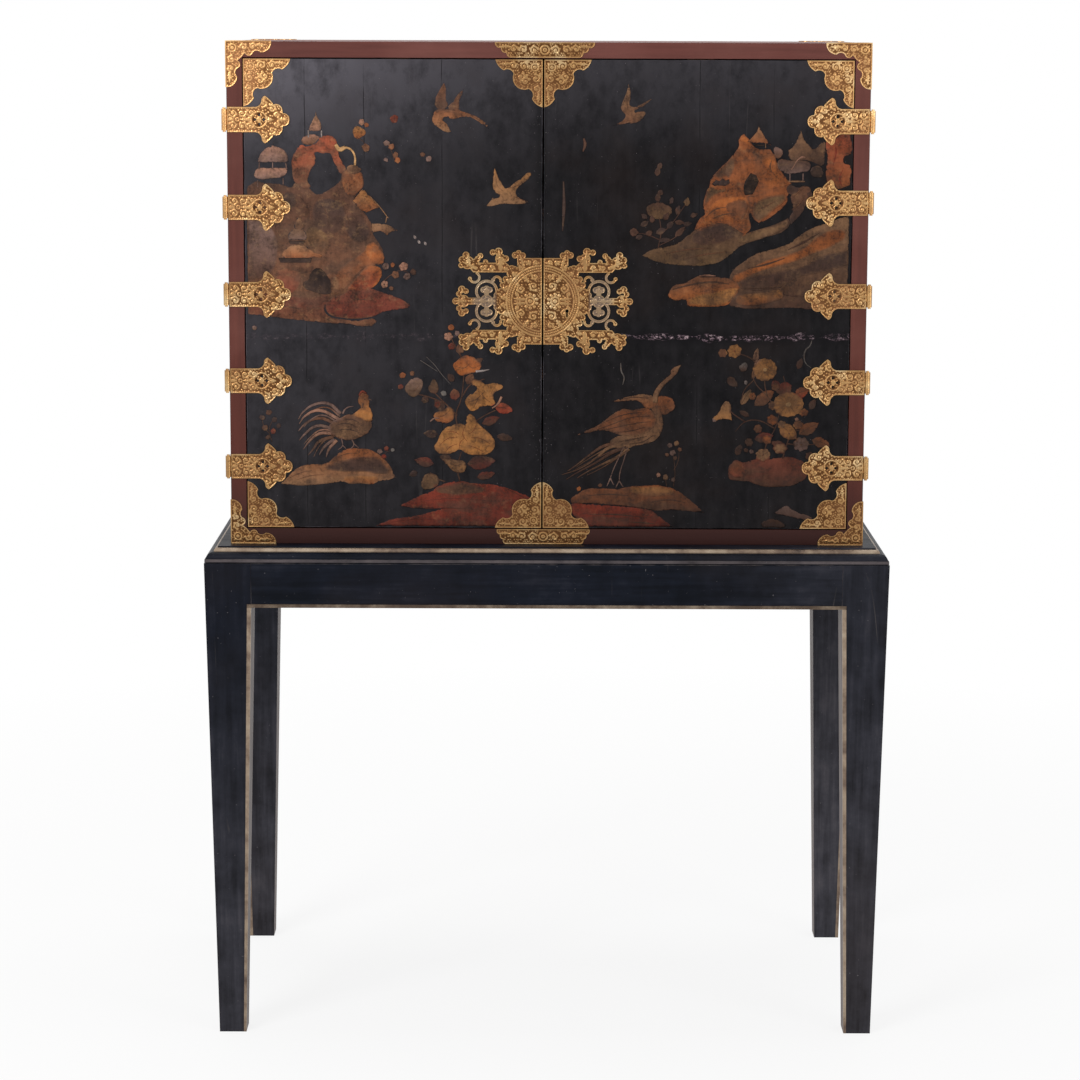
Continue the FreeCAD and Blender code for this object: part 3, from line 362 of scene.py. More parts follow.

# %% [markdown]
# ## Red-brown lacquer
# The cabinet's edges are lacquered a deep red-brown. It is painted lighter high up and darker low down as
# painted light and shade, with pale rose patches that fade out towards the bottom. Brush marks run along each
# board, and a few chips show a darker ground.

# %% Red-brown lacquer
def red_brown(grain):
    lacquer = Finish(f"red_brown_lacquer_{grain}", roughness=0.4, specular=0.16)
    brushed = lacquer.noise(5.0, GRAIN[grain], detail=6.0, roughness=0.6)
    clouds = lacquer.noise(7.0)
    up = lacquer.axes()[2]
    # Painted light and shade: lighter high up and much darker low down.
    tone = lacquer.ramp(lacquer.between(up, 0.74, 1.47), (0.0, (40, 17, 14)), (0.06, (56, 26, 21)),
                        (0.14, (82, 40, 32)), (0.5, (92, 49, 41)), (1.0, (98, 55, 49)))
    streaked = lacquer.mix(lacquer.ramp(brushed, (0.35, 0.40), (0.7, 0.0)), tone, (52, 25, 22))
    # Pale rose patches in clouds, fading out towards the bottom.
    dust = lacquer.ramp(clouds, (0.45, 0.0), (0.75, 0.4)) * lacquer.between(up, 0.76, 0.90)
    patches_over_painted_shade = lacquer.mix(dust, streaked, (122, 78, 70))
    worn = lacquer.mix(edge_wear(lacquer, 0.6), patches_over_painted_shade, (35, 18, 16))
    return lacquer.dress(worn, lacquer.ramp(clouds, (0.3, 0.36), (0.7, 0.52)), brushed, 0.0003, 0.5)


RED_BROWN = {grain: red_brown(grain) for grain in GRAIN}
print("lacquer finishes:", len(RED_BROWN))

# %% [markdown]
# ## Black lacquer
# Old black lacquer isn't an even black. Here a painted sheen makes it lighter grey along the top and towards
# the left, and it has dark hairline cracks that follow the boards behind it, and one joint that runs across
# both doors, where the lacquer has flaked and shows a pinkish ground. All of it can be worked out from the
# place on the door, so one finish does for both doors. The bare ground comes first, because the raised
# pictures also show it where their paint has worn off.

# %% Ground of the doors
def door_ground(finish):
    """The tone of the bare black lacquer at every place of the doors, with its clouds, its brush marks and a
    painted sheen.
    """
    across, _, up = finish.axes()
    clouds = finish.noise(6.0, detail=5.0)
    mottle = finish.noise(1.6, (30, 30, 20), detail=6.0, roughness=0.7)
    grain = finish.noise(4.0, (26, 26, 2.5), detail=5.0, roughness=0.6)
    left = finish.between(across, 0.05, -0.44)
    top = finish.between(up, 1.30, 1.46)
    # Painted sheen: lighter grey along the top and towards the left.
    painted_sheen = left * finish.between(up, 0.60, 1.05) * 0.22 + top * 0.24 + left * left * top * 0.60
    uneven = finish.ramp(clouds + mottle * 0.9, (0.72, 0.48), (1.08, 1.06))
    base = finish.ramp(grain * 0.4 + mottle, (0.50, (7, 6, 8)), (0.88, (26, 24, 26)))
    with_painted_sheen = finish.mix(painted_sheen * uneven * 1.35, base, (84, 81, 87))
    brown = finish.mix(finish.ramp(clouds, (0.52, 0.0), (0.72, 0.4)), with_painted_sheen, (34, 25, 22))
    return brown, clouds, grain


print("ground tones from", (7, 6, 8), "to", (84, 81, 87))

# %% [markdown]
# The cracks and the flaked joint are lines that wander a little. They could be painted on a picture. Here a
# line is the distance from one coordinate, shifted by a slow noise, which stays sharp however near the
# camera comes.

# %% Black lacquer of the doors
JOINT_HEIGHT = 1.0462
OUTER_SKIN = -0.235
SEAM = -0.0075
BOARD_CRACKS = (-0.2665, -0.352, -0.154, 0.219, 0.326)
ALONG_X, ALONG_Z = (1, 0, 0), (0, 0, 1)


def line_distance(finish, coordinate, at, along, wander):
    """How far a place is from a line that wanders a little as it runs along an axis, in metres."""
    return abs(coordinate + (finish.noise(6.0, along) - 0.5) * wander - at)


def cracked(lacquer, tone, across, outside):
    """Hairline cracks over the joints of the boards behind, each in a faint grey halo."""
    nearest = line_distance(lacquer, across, BOARD_CRACKS[0], ALONG_Z, 0.005)
    for at in BOARD_CRACKS[1:]:
        nearest = lacquer.maths("MINIMUM", nearest, line_distance(lacquer, across, at, ALONG_Z, 0.005))
    broken = lacquer.ramp(lacquer.noise(9.0), (0.46, 0.0), (0.56, 1.0))
    crack = (nearest < 0.0006) * broken * outside
    halo = lacquer.between(nearest, 0.010, 0.0) * broken * outside * 0.07
    return crack, lacquer.mix(crack * 0.7, lacquer.mix(halo, tone, (84, 80, 84)), (8, 7, 8))


def flaked(lacquer, tone, across, up, outside):
    """The joint across the doors: a dark band with chips in it, strong on the right and faint on the left."""
    joint = line_distance(lacquer, up, JOINT_HEIGHT, ALONG_X, 0.010)
    chips = lacquer.noise(150.0, (1, 1, 1.6), detail=6.0, roughness=0.75)
    reach = lacquer.ramp(lacquer.noise(24.0, detail=3.0), (0.38, 0.0015), (0.64, 0.0080))
    fading = 1.0 - lacquer.between(across, 0.20, 0.42) * 0.4
    right = lacquer.between(across, 0.10, 0.13) * fading
    side = lacquer.maths("MAXIMUM", right, lacquer.between(across, -0.10, -0.14) * 0.10) * outside
    inside = lacquer.between(lacquer.maths("DIVIDE", joint, reach), 1.0, 0.6)
    flakes = inside * lacquer.ramp(chips, (0.49, 0.0), (0.54, 1.0)) * side
    shadow = lacquer.between(joint, 0.014, 0.004) * side * 0.75
    pinkish = lacquer.ramp(chips, (0.50, (66, 52, 60)), (0.58, (112, 92, 100)), (0.66, (186, 168, 168)))
    return flakes, lacquer.mix(flakes, lacquer.mix(shadow, tone, (10, 8, 11)), pinkish)


def black_lacquer():
    lacquer = Finish("black_lacquer", roughness=0.36, specular=0.08)
    ground, clouds, grain = door_ground(lacquer)
    across, back, up = lacquer.axes()
    outside = back < OUTER_SKIN
    tone = lacquer.mix(scratches(lacquer, 18.0, 0.003) * 0.1, ground, (110, 104, 102))
    crack, tone = cracked(lacquer, tone, across, outside)
    flakes, tone = flaked(lacquer, tone, across, up, outside)
    # Painted shadow on the left door's edge next to the seam.
    seam_shadow = lacquer.between(across, -0.021, -0.014) * lacquer.between(across, 0.0, -0.005) * 0.55
    tone = lacquer.mix(seam_shadow, tone, (9, 8, 10))
    seam = lacquer.between(abs(across - SEAM), 0.02, 0.0)
    specks = lacquer.noise(420.0, detail=2.0) + seam * 0.07 > 0.735
    tone = lacquer.mix(specks * 0.6, tone, (130, 122, 124))
    worn = lacquer.mix(edge_wear(lacquer, 0.8), tone, (84, 80, 86))
    relief = grain + (flakes - crack) * 2.5
    return lacquer.dress(worn, lacquer.ramp(clouds, (0.3, 0.30), (0.7, 0.50)), relief, 0.00025, 0.6)


BLACK_LACQUER = black_lacquer()
print("black lacquer with", len(BOARD_CRACKS), "board cracks")

# %% [markdown]
# ## Wood inside, gilding and iron
# The inside and the hidden blocks are plain waxed wood. The beads of the stand are gilt over a red ground,
# and most of the gold has rubbed off. The lock and the door bolts are dark iron.

# %% Inside wood, gilding and iron
FRONT_BEAD_LOW, FRONT_BEAD_HIGH = 0.6504, 0.7


def inside_wood(grain):
    wood = Finish(f"inside_wood_{grain}", roughness=0.55)
    rings = wood.noise(7.0, GRAIN[grain], detail=8.0, roughness=0.65, distortion=0.4)
    fibres = wood.noise(40.0, GRAIN[grain], detail=3.0)
    tone = wood.ramp(rings, (0.25, (92, 52, 30)), (0.55, (128, 78, 46)), (0.8, (150, 98, 60)))
    colour = wood.mix(wood.ramp(fibres, (0.35, 0.45), (0.6, 0.0)), tone, (74, 42, 26))
    return wood.dress(colour, None, fibres, 0.0003, 0.5)


def worn_gilding():
    gilt = Finish("worn_gilding", roughness=0.45, metallic=0.35)
    patches = gilt.noise(28.0, detail=6.0, roughness=0.65)
    wear = patches + (gilt.noise(5.0, detail=2.0) - 0.5) * 0.5
    tone = gilt.ramp(wear, (0.22, (48, 38, 34)), (0.38, (104, 86, 72)), (0.50, (134, 116, 98)),
                     (0.72, (166, 150, 130)))
    up = gilt.axes()[2]
    rail = (up > FRONT_BEAD_LOW) * (up < FRONT_BEAD_HIGH)
    dulled = gilt.mix(rail * gilt.ramp(patches, (0.40, 1.0), (0.62, 0.55)), tone, (64, 48, 34))
    return gilt.dress(dulled, None, patches, 0.0003, 0.6)


def lock_iron():
    iron = Finish("lock_iron", roughness=0.5, metallic=0.9)
    grain = iron.noise(120.0, detail=5.0)
    rust = iron.noise(22.0, detail=6.0)
    tone = iron.ramp(grain, (0.3, (64, 62, 60)), (0.7, (104, 100, 96)))
    colour = iron.mix(iron.ramp(rust, (0.56, 0.0), (0.7, 0.8)), tone, (80, 46, 30))
    return iron.dress(colour, iron.ramp(rust, (0.4, 0.4), (0.7, 0.75)), grain, 0.0002, 0.6)


INSIDE_WOOD = {grain: inside_wood(grain) for grain in GRAIN}
WORN_GILDING = worn_gilding()
LOCK_IRON = lock_iron()
print("inside finishes ready")

# %% [markdown]
# ## Softened edges
# A cabinet maker takes the sharpness off every edge, and years of dusting round it further. The
# construction has knife edges, so each board is copied, its flat faces are joined up again, and its long
# edges are bevelled by about a millimetre. The bevel's faces are marked, so that the finish can be worn
# there.

# %% Copies of boards with softened edges
CABINET = "cabinet_and_stand"
SHORTEST_EDGE = 12 * MM


def merged_copy(node):
    """A bmesh of a node with its loose triangles joined into one skin and its flat faces made whole."""
    skin = bmesh.new()
    skin.from_mesh(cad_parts[node].data)
    bmesh.ops.remove_doubles(skin, verts=skin.verts, dist=0.00002)
    bmesh.ops.dissolve_limit(skin, angle_limit=math.radians(0.8), verts=skin.verts, edges=skin.edges)
    return skin


def shade(faces, smooth):
    for face in faces:
        face.smooth = smooth


def piece_from(skin, name, body, slot, material, *replaced):
    """Turns a finished bmesh into a piece that rides on its body, and may replace nodes."""
    mesh = bpy.data.meshes.new(name)
    skin.to_mesh(mesh)
    skin.free()
    mesh.materials.append(material)
    piece = bpy.data.objects.new(name, mesh)
    scene.collection.objects.link(piece)
    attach(piece, body)
    if replaced:
        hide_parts(*replaced)


def soften(node, slot, material, width, body=CABINET):
    skin = merged_copy(node)
    worn = skin.faces.layers.float.new("edge")
    sharp = math.radians(30)
    long_sharp = [edge for edge in skin.edges if edge.is_manifold and edge.calc_length() > SHORTEST_EDGE
                  and edge.calc_face_angle(0.0) > sharp]
    made = bmesh.ops.bevel(skin, geom=long_sharp, offset=width, offset_type="OFFSET", affect="EDGES",
                           segments=2, profile=0.5, material=-1, clamp_overlap=True)
    shade(skin.faces, False)
    for face in made["faces"]:
        face[worn] = 1.0
    piece_from(skin, f"{node}_softened", body, slot, material, node)


for side in ("left", "right"):
    for end in ("front", "rear"):
        soften(f"{end}_{side}_leg", "ebonised_wood", EBONISED["z"], 1.0 * MM)
    soften(f"{side}_apron", "ebonised_wood", EBONISED["y"], 0.6 * MM)
    soften(f"{side}_moulding", "ebonised_wood", EBONISED["y"], 0.3 * MM)
    soften(f"{side}_side", "red_brown_lacquer", RED_BROWN["z"], 0.7 * MM)
    soften(f"{side}_door", "black_lacquer", BLACK_LACQUER, 0.8 * MM, f"{side}_door")
for end in ("front", "rear"):
    soften(f"{end}_apron", "ebonised_wood", EBONISED["x"], 0.6 * MM)
    soften(f"{end}_moulding", "ebonised_wood", EBONISED["x"], 0.3 * MM)
for board in ("carcase_top", "carcase_bottom"):
    soften(board, "red_brown_lacquer", RED_BROWN["x"], 0.5 * MM)
for shelf in ("lower_shelf", "upper_shelf"):
    soften(shelf, "inside_wood", INSIDE_WOOD["x"], 1.5 * MM)

# %% [markdown]
# ## Chased brass
# The mounts are sheet brass, engraved with scrolls on a sunk ground and then gilded. The gold is rubbed
# bright on the raised scrolls and brown in the hollows. It is painted brightest at the doors' outer edges and
# high up and darker low down, as painted light and shade, and the open rings beside the medallion have gone
# grey.

# %% Gilt brass
LOCK_HEIGHT = 1.098


def gilt_brass():
    brass = Finish("gilt_brass", roughness=0.4, metallic=1.0)
    hollow = brass.attribute("hollow")
    patches = brass.noise(26.0, detail=5.0)
    tone = brass.ramp(hollow, (0.0, (212, 168, 112)), (0.35, (173, 127, 79)), (0.7, (102, 68, 40)),
                      (1.0, (30, 19, 14)))
    toned = brass.mix(brass.ramp(patches, (0.42, 0.0), (0.68, 0.5)), tone, (152, 106, 72))
    raised_part = brass.maths("SUBTRACT", 1.0, hollow * 1.43, clamp=True)
    rubbed = brass.ramp(patches, (0.25, 0.9), (0.46, 0.0)) * raised_part
    bright = brass.mix(rubbed, toned, (240, 212, 164))
    speckled = brass.mix(brass.ramp(brass.noise(420.0), (0.52, 0.0), (0.66, 0.35)), bright, (108, 72, 44))
    across, _, up = brass.axes()
    outer = brass.between(abs(across), 0.06, 0.42)
    high = brass.between(up, 1.15, 1.42)
    # Painted light and shade: brighter at the doors' outer edges, high up and at the upper left, darker low
    # down.
    painted_light_on_brass = outer * high * 0.28 + 0.66 - brass.between(up, 0.95, 0.78) * 0.11
    painted_light_on_brass = painted_light_on_brass + high * brass.between(across, -0.3, -0.46) * 0.26
    painted_light_on_brass = painted_light_on_brass + brass.between(abs(across), 0.3, 0.42) * 0.08
    from_seam, from_middle = abs(across - SEAM), abs(up - LOCK_HEIGHT)
    rings = brass.between(from_seam, 0.066, 0.072) * brass.between(from_seam, 0.104, 0.098)
    rings = rings * brass.between(from_middle, 0.042, 0.036) * 0.55
    greyed = brass.mix(rings, speckled, (146, 134, 122))
    aged = brass.value("ShaderNodeHueSaturation", "Color", {"Value": painted_light_on_brass, "Color": greyed})
    granules = brass.value("ShaderNodeTexVoronoi", "Distance", {"Vector": brass.place(), "Scale": 900.0})
    return brass.dress(aged, brass.ramp(hollow, (0.0, 0.30), (1.0, 0.62)), granules, 0.00025, 0.5)


GILT_BRASS = gilt_brass()
print("gilt brass ready")

# %% [markdown]
# To engrave a plate, its face is cut into a fine grid, and every point of the grid that isn't on a scroll is
# pushed back into the plate. A scroll is a string of beads whose size tapers, which makes one rule do for
# spirals, leaves, rings and dots alike. A bead is its place in millimetres and its radius.

# %% Strings of beads: spirals, leaves and rings
BEAD_STEP = 0.45


def around(u, v, turn, reach, size):
    """A bead at a turn and a reach from a middle."""
    return (u + reach * math.cos(turn), v + reach * math.sin(turn), size)


def scroll(u, v, radius, start, turns, hand=1, thick=1.15):
    """A spiral from its outer end to its eye, with three small leaves on its back."""
    count = max(int(math.pi * radius * turns / BEAD_STEP), 8)
    beads = []
    for index in range(count + 1):
        t = index / count
        turn = math.radians(start) + hand * math.tau * turns * t
        beads.append(around(u, v, turn, radius * (1 - t) + 0.9 * t, thick * (1 - 0.4 * t)))
    for share in (0.06, 0.20, 0.34):
        turn = math.radians(start) + hand * math.tau * turns * share
        for out, size in ((1.5, 1.1), (2.5, 0.75)):
            beads.append(around(u, v, turn - hand * 0.18 * out, radius * (1 - share) + out, size))
    return beads + [(u, v, 1.5)]


def leaf(u, v, degrees, length, width=2.2):
    """A straight leaf with side lobes, from its stalk to its tip."""
    turn = math.radians(degrees)
    beads = []
    for index in range(int(length / BEAD_STEP) + 1):
        far = index * BEAD_STEP
        beads.append(around(u, v, turn, far, width * (1 - far / length) ** 0.6 * 0.6 + 0.35))
    for share, out in ((0.25, width), (0.55, width * 0.8)):
        for side in (-1, 1):
            rib_u, rib_v, _ = around(u, v, turn, share * length, 0)
            beads.append(around(rib_u, rib_v, turn + math.pi / 2, side * out, width * 0.42))
    return beads


def ring(u, v, radius, thick, first=0.0, last=360.0):
    """Beads on a circle or on part of one."""
    arc = math.radians(last - first)
    count = max(int(radius * arc / BEAD_STEP), 6)
    turns = [math.radians(first) + arc * index / count for index in range(count + 1)]
    return [around(u, v, turn, radius, thick) for turn in turns]


def dots(u, v, radius, count, size, last=360.0):
    """Round grains spaced along a circle."""
    return [around(u, v, math.radians(last * (index + 0.5) / count), radius, size) for index in range(count)]


def seeded(beads, low, high, gap=0.85, spacing=3.0):
    """Fills what is left of the ground with small grains, a little out of line as a punch leaves them."""
    draw = np.random.default_rng(7)
    laid = np.array(beads)
    row = 0
    v = low[1]
    while v < high[1]:
        u = low[0] + (row % 2) * spacing / 2
        while u < high[0]:
            spot = (u + draw.uniform(-0.5, 0.5), v + draw.uniform(-0.5, 0.5))
            size = draw.uniform(0.75, 1.15)
            room = np.min(np.hypot(laid[:, 0] - spot[0], laid[:, 1] - spot[1]) - laid[:, 2])
            if room > size + gap:
                laid = np.vstack([laid, (*spot, size)])
            u += spacing
        v += spacing * 0.87
        row += 1
    return laid


print("bead patterns ready")

# %% [markdown]
# Each kind of mount gets its own layout in millimetres, in the plate's own directions. A plate that is the
# same above and below its middle, or on both sides of a corner's diagonal, needs only half a layout: the
# place is folded over before it is looked up.

# %% Layouts of the mounts
def strap_layout():
    """For a hinge strap, folded over its middle line: scrolls along the neck, then the ringed head."""
    beads = scroll(17, 9.0, 5.6, 200, 1.3) + scroll(30, 9.0, 5.4, 20, 1.3, -1)
    beads += scroll(42.5, 9.5, 5.0, 200, 1.2)
    beads += leaf(10, 0, 0, 8) + leaf(36, 0, 180, 9) + leaf(36, 0, 0, 7) + ring(23, 0, 2.4, 0.8)
    beads += ring(54, 0, 11.4, 0.9) + ring(54, 0, 1.8, 1.8) + dots(54, 0, 14.2, 14, 1.0)
    beads += scroll(61, 23.0, 5.0, 250, 1.2) + leaf(62, 29, 95, 5, 1.8)
    beads += scroll(73, 15.5, 5.4, 120, 1.3, -1) + scroll(79, 6.5, 4.2, 300, 1.2)
    return seeded(beads + leaf(84, 0, 0, 12, 2.6) + leaf(68, 0, 0, 7, 2.0), (8, 0), (99, 36))


def side_leaf_layout():
    """For a hinge's leaf on the cabinet's side, folded over its middle line."""
    beads = scroll(17, 7.6, 4.8, 200, 1.2) + scroll(29, 7.6, 4.8, 20, 1.2, -1)
    beads += scroll(39, 5.6, 3.4, 200, 1.1)
    return seeded(beads + leaf(10, 0, 0, 8) + leaf(24, 0, 0, 8) + leaf(43, 0, 0, 7), (8, 0), (53, 16))


def corner_layout():
    """For a three-cornered mount, folded over its diagonal: u is the larger of the two places."""
    beads = ring(11, 11, 5.2, 1.0) + ring(11, 11, 1.6, 0.9) + dots(11, 11, 8.0, 12, 0.9)
    beads += scroll(27, 9.5, 6.0, 160, 1.4) + scroll(42, 8.5, 5.0, 340, 1.3, -1) + leaf(50, 5.5, 5, 13, 2.2)
    beads += scroll(31, 24.5, 5.4, 250, 1.3, -1) + leaf(22, 22, 45, 8, 2.0) + leaf(20, 3.5, 0, 7, 1.6)
    return seeded(beads, (0, 0), (68, 40))


def angle_layout():
    """For a two-armed mount, folded over its diagonal."""
    beads = ring(10.5, 10.5, 5.4, 1.0) + ring(10.5, 10.5, 1.5, 0.9) + dots(10.5, 10.5, 8.0, 12, 0.8)
    beads += scroll(27, 9.5, 5.2, 170, 1.3) + scroll(40, 8.5, 4.6, 350, 1.2, -1) + leaf(47, 6, 0, 13, 2.2)
    return seeded(beads, (0, 0), (66, 24))


def centre_layout():
    """For the long mounts in the middle of the rails, folded left over right."""
    beads = ring(0, 11, 6.2, 1.0) + ring(0, 11, 2.0, 1.0) + scroll(16, 11.5, 6.0, 190, 1.4)
    beads += scroll(31, 10.5, 5.6, 10, 1.3, -1) + scroll(45, 9.5, 5.0, 190, 1.3) + leaf(53, 6, 0, 13, 2.2)
    return seeded(beads, (0, 0), (73, 23))


def lock_layout():
    """For the lock plate, folded over its middle: a ringed medallion, rails, and arms with curls."""
    beads = ring(0, 0, 51.5, 1.3, 0, 90) + ring(0, 0, 44.0, 0.9, 0, 90) + dots(0, 0, 47.7, 25, 1.25, 90)
    for turn in (6, 19, 32, 45, 58):
        u, v, _ = around(0, 0, math.radians(turn), 57.6, 0)
        beads += scroll(u, v, 3.4, turn + 120, 1.1, 1, 1.0)
    beads += ring(17, 0, 6.0, 1.3) + ring(17, 0, 1.6, 1.4) + dots(17, 0, 10.0, 10, 2.2)
    beads += scroll(12, 22, 6.6, 230, 1.4) + scroll(30, 18, 6.2, 60, 1.4, -1)
    beads += scroll(10, 36, 4.6, 30, 1.2, -1)
    beads += leaf(29, 2.5, 8, 12, 2.6) + leaf(20, 29, 50, 12, 2.6) + leaf(35, 8, 60, 7, 2.0)
    beads += scroll(9, 57, 3.6, 190, 1.2) + scroll(19, 57, 3.4, 10, 1.1, -1) + leaf(27, 52, 72, 17, 2.6)
    beads += leaf(60, 47, 84, 28, 4.2) + leaf(61, 58, 160, 9, 2.6) + leaf(64, 66, 25, 9, 2.4)
    beads += scroll(73, 49, 4.6, 330, 1.2, -1) + scroll(86, 49, 4.4, 150, 1.2) + leaf(91, 54, 96, 14, 2.4)
    beads += leaf(96, 48, 25, 22, 3.4) + leaf(106, 55, 78, 14, 2.8) + leaf(50, 46, 20, 8, 2.4)
    beads += leaf(80.5, 10, 90, 11, 3.4) + leaf(70, 0, 0, 12, 3.0) + leaf(90, 0, 180, 8, 2.6)
    beads += leaf(94, 0, 0, 14, 2.8) + leaf(112, 0, 0, 16, 3.2) + leaf(114, 5, 80, 15, 2.8)
    return seeded(beads, (0, 0), (131, 79))


LAYOUTS = {"strap": strap_layout(), "side_leaf": side_leaf_layout(), "corner": corner_layout(),
           "angle": angle_layout(), "centre": centre_layout(), "lock": lock_layout()}
print("beads in each layout:", {name: len(beads) for name, beads in LAYOUTS.items()})

# %% [markdown]
# Engraving needs points to push. The face of a plate could be subdivided, but its outline is too irregular
# for even squares. Planes set one step apart cut an even grid whatever the outline is, and leave the
# outline as it was. The rim has to stay at full height, so each point's distance from it is measured as
# well.

# %% Cutting the grid
FACING, LEFTWARD, UPWARD = Vector((0, -1, 0)), Vector((-1, 0, 0)), Vector((0, 0, 1))


def faces_looking(skin, outward, zone=None):
    """The faces that look outward, within a box of two corners if one is given."""
    found = [face for face in skin.faces if face.normal.dot(outward) > 0.99]
    if zone is None:
        return found
    low, high = zone
    return [face for face in found if all(low[axis] < face.calc_center_median()[axis] < high[axis]
                                          for axis in range(3))]


def rule_grid(skin, outward, zone, step):
    """Cuts the faces that look outward along lines one step apart, in both directions."""
    faces = faces_looking(skin, outward, zone)
    edges = {edge for face in faces for edge in face.edges}
    geometry = faces + list(edges) + list({corner for face in faces for corner in face.verts})
    for axis in (Vector((1, 0, 0)), Vector((0, 1, 0)), Vector((0, 0, 1))):
        if abs(axis.dot(outward)) > 0.5:
            continue
        reach = [part.co.dot(axis) for part in geometry if isinstance(part, bmesh.types.BMVert)]
        low, high = min(reach), max(reach)
        count = int((high - low) / step)
        for index in range(1, count):
            at = axis * (low + (high - low) * index / count)
            cut = bmesh.ops.bisect_plane(skin, geom=geometry, dist=0.00003, plane_co=at, plane_no=axis)
            geometry = cut["geom"]


def rim_distance(faces, points):
    """How far each point lies from the edge of the plate's face, in millimetres."""
    inside = set(faces)
    edge_points = set()
    for face in faces:
        for edge in face.edges:
            if any(other not in inside for other in edge.link_faces):
                edge_points.update(edge.verts)
    tree = KDTree(len(edge_points))
    for index, corner in enumerate(edge_points):
        tree.insert(corner.co, index)
    tree.balance()
    return np.array([tree.find(point.co)[2] for point in points]) / MM


print("grid cutter ready")

# %% [markdown]
# A chaser hammers the ground down and leaves the scrolls standing. A bump pattern could look like that from
# the front, but its edges would be flat from the side. Here each point sinks by how far it lies outside the
# nearest bead, with a soft slope between, and it keeps how deep it lies, which the brass shows as dirt in
# the hollows.

# %% Sinking the ground between the scrolls
RIM = 1.1
SLOPE = 0.55
GROUND = 0.7
BATCH = 4000


def sink_ground(skin, outward, to_plate, beads, depth, step, zone=None, holes=()):
    """Engraves one face: to_plate turns a place on the object into the plate's own two directions."""
    rule_grid(skin, outward, zone, step)
    hollow = skin.verts.layers.float.get("hollow") or skin.verts.layers.float.new("hollow")
    faces = faces_looking(skin, outward, zone)
    points = list({corner for face in faces for corner in face.verts})
    where = np.array([to_plate(point.co) for point in points])
    height = np.zeros(len(points))
    for first in range(0, len(points), BATCH):
        part = where[first:first + BATCH]
        apart = np.hypot(part[:, None, 0] - beads[None, :, 0], part[:, None, 1] - beads[None, :, 1])
        inside = np.max((beads[None, :, 2] - apart) / SLOPE, axis=1)
        height[first:first + BATCH] = np.clip(inside + 0.5, 0, 1)
    rim = np.clip((RIM - rim_distance(faces, points)) / SLOPE + 1.0, 0, 1)
    height = np.maximum(height, rim)
    height = height * height * (3 - 2 * height)
    level = GROUND * (1 - height)
    for u, v, radius in holes:
        level = np.where(np.hypot(where[:, 0] - u, where[:, 1] - v) < radius, 1.0, level)
    for point, sunk in zip(points, level):
        point.co -= outward * float(sunk) * depth / GROUND
        point[hollow] = float(sunk)
    shade(faces, True)
    for edge in {edge for face in faces for edge in face.edges}:
        if any(other.normal.dot(outward) < 0.5 for other in edge.link_faces):
            edge.smooth = False
    return len(points)


def flat_copy(node):
    skin = merged_copy(node)
    shade(skin.faces, False)
    return skin


def chased(skin, node, body):
    piece_from(skin, f"{node}_chased", body, "gilt_brass", GILT_BRASS, node)


def lay_in(target, pattern, flips=(1, 1, 1), shift=(0, 0, 0)):
    """Adds a copy of a pattern to a target, turned over along the axes whose flip is -1 and then moved."""
    part = pattern.copy()
    bmesh.ops.scale(part, vec=flips, verts=part.verts)
    if flips[0] * flips[1] * flips[2] < 0:
        bmesh.ops.reverse_faces(part, faces=part.faces)
    bmesh.ops.translate(part, vec=shift, verts=part.verts)
    carrier = bpy.data.meshes.new("carrier")
    part.to_mesh(carrier)
    part.free()
    target.from_mesh(carrier)
    bpy.data.meshes.remove(carrier)


print("engraver ready")

# %% [markdown]
# The ten straps are one pattern. The first is engraved, and the others are the same mesh moved to their
# hinges; those on the right are turned over left to right, which turns the skin inside out, so their faces
# are turned back again.

# %% Hinge straps
ENGRAVING_STEP = 0.95 * MM
STRAP_DEPTH = 0.75 * MM
STRAP_HOLES = ((54, 7.2, 2.7), (46.8, 0, 2.7), (61.2, 0, 2.7))
strap_low, strap_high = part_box("left_strap_1")
strap_middle = (strap_low.z + strap_high.z) / 2
pattern = flat_copy("left_strap_1")
count = sink_ground(pattern, FACING, lambda co: ((co.x - strap_low.x) / MM, abs(co.z - strap_middle) / MM),
                    LAYOUTS["strap"], STRAP_DEPTH, ENGRAVING_STEP, holes=STRAP_HOLES)
for side in ("left", "right"):
    for number in range(1, 6):
        node = f"{side}_strap_{number}"
        low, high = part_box(node)
        skin = bmesh.new()
        if side == "right":
            lay_in(skin, pattern, (-1, 1, 1), (high.x + strap_low.x, 0, low.z - strap_low.z))
        else:
            lay_in(skin, pattern, (1, 1, 1), low - strap_low)
        chased(skin, node, f"{side}_door")
pattern.free()
print("engraved points on each strap:", count)

# %% [markdown]
# The lock plate is one design, cut in two at the doors' seam. Its halves mirror each other, above and below
# too, so a quarter of a layout does for all of it: places are measured outwards from the seam, and up or
# down from the middle.

# %% Lock plates
PLATE_DEPTH = 0.7 * MM
for side, outward_u in (("left", -1), ("right", 1)):
    node = f"{side}_lock_plate"
    low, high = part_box(node)
    seam = high.x if side == "left" else low.x
    middle = (low.z + high.z) / 2
    skin = flat_copy(node)
    count = sink_ground(skin, FACING, lambda co: ((co.x - seam) * outward_u / MM, abs(co.z - middle) / MM),
                        LAYOUTS["lock"], PLATE_DEPTH, ENGRAVING_STEP)
    chased(skin, node, f"{side}_door")
    print(node, "engraved points:", count)

# %% [markdown]
# The corner mounts and the centre mounts are thinner, so they are cut less deep. A point's two distances
# from the corner's edges are sorted, which folds the plate over its diagonal. All corners of a kind are one
# casting, so one is cut out and engraved, and the others are its mirror images.

# %% Mirror images of one corner
MOUNT_DEPTH = 0.42 * MM
CORNER_REACH = 72 * MM
LEAF_REACH = 60 * MM


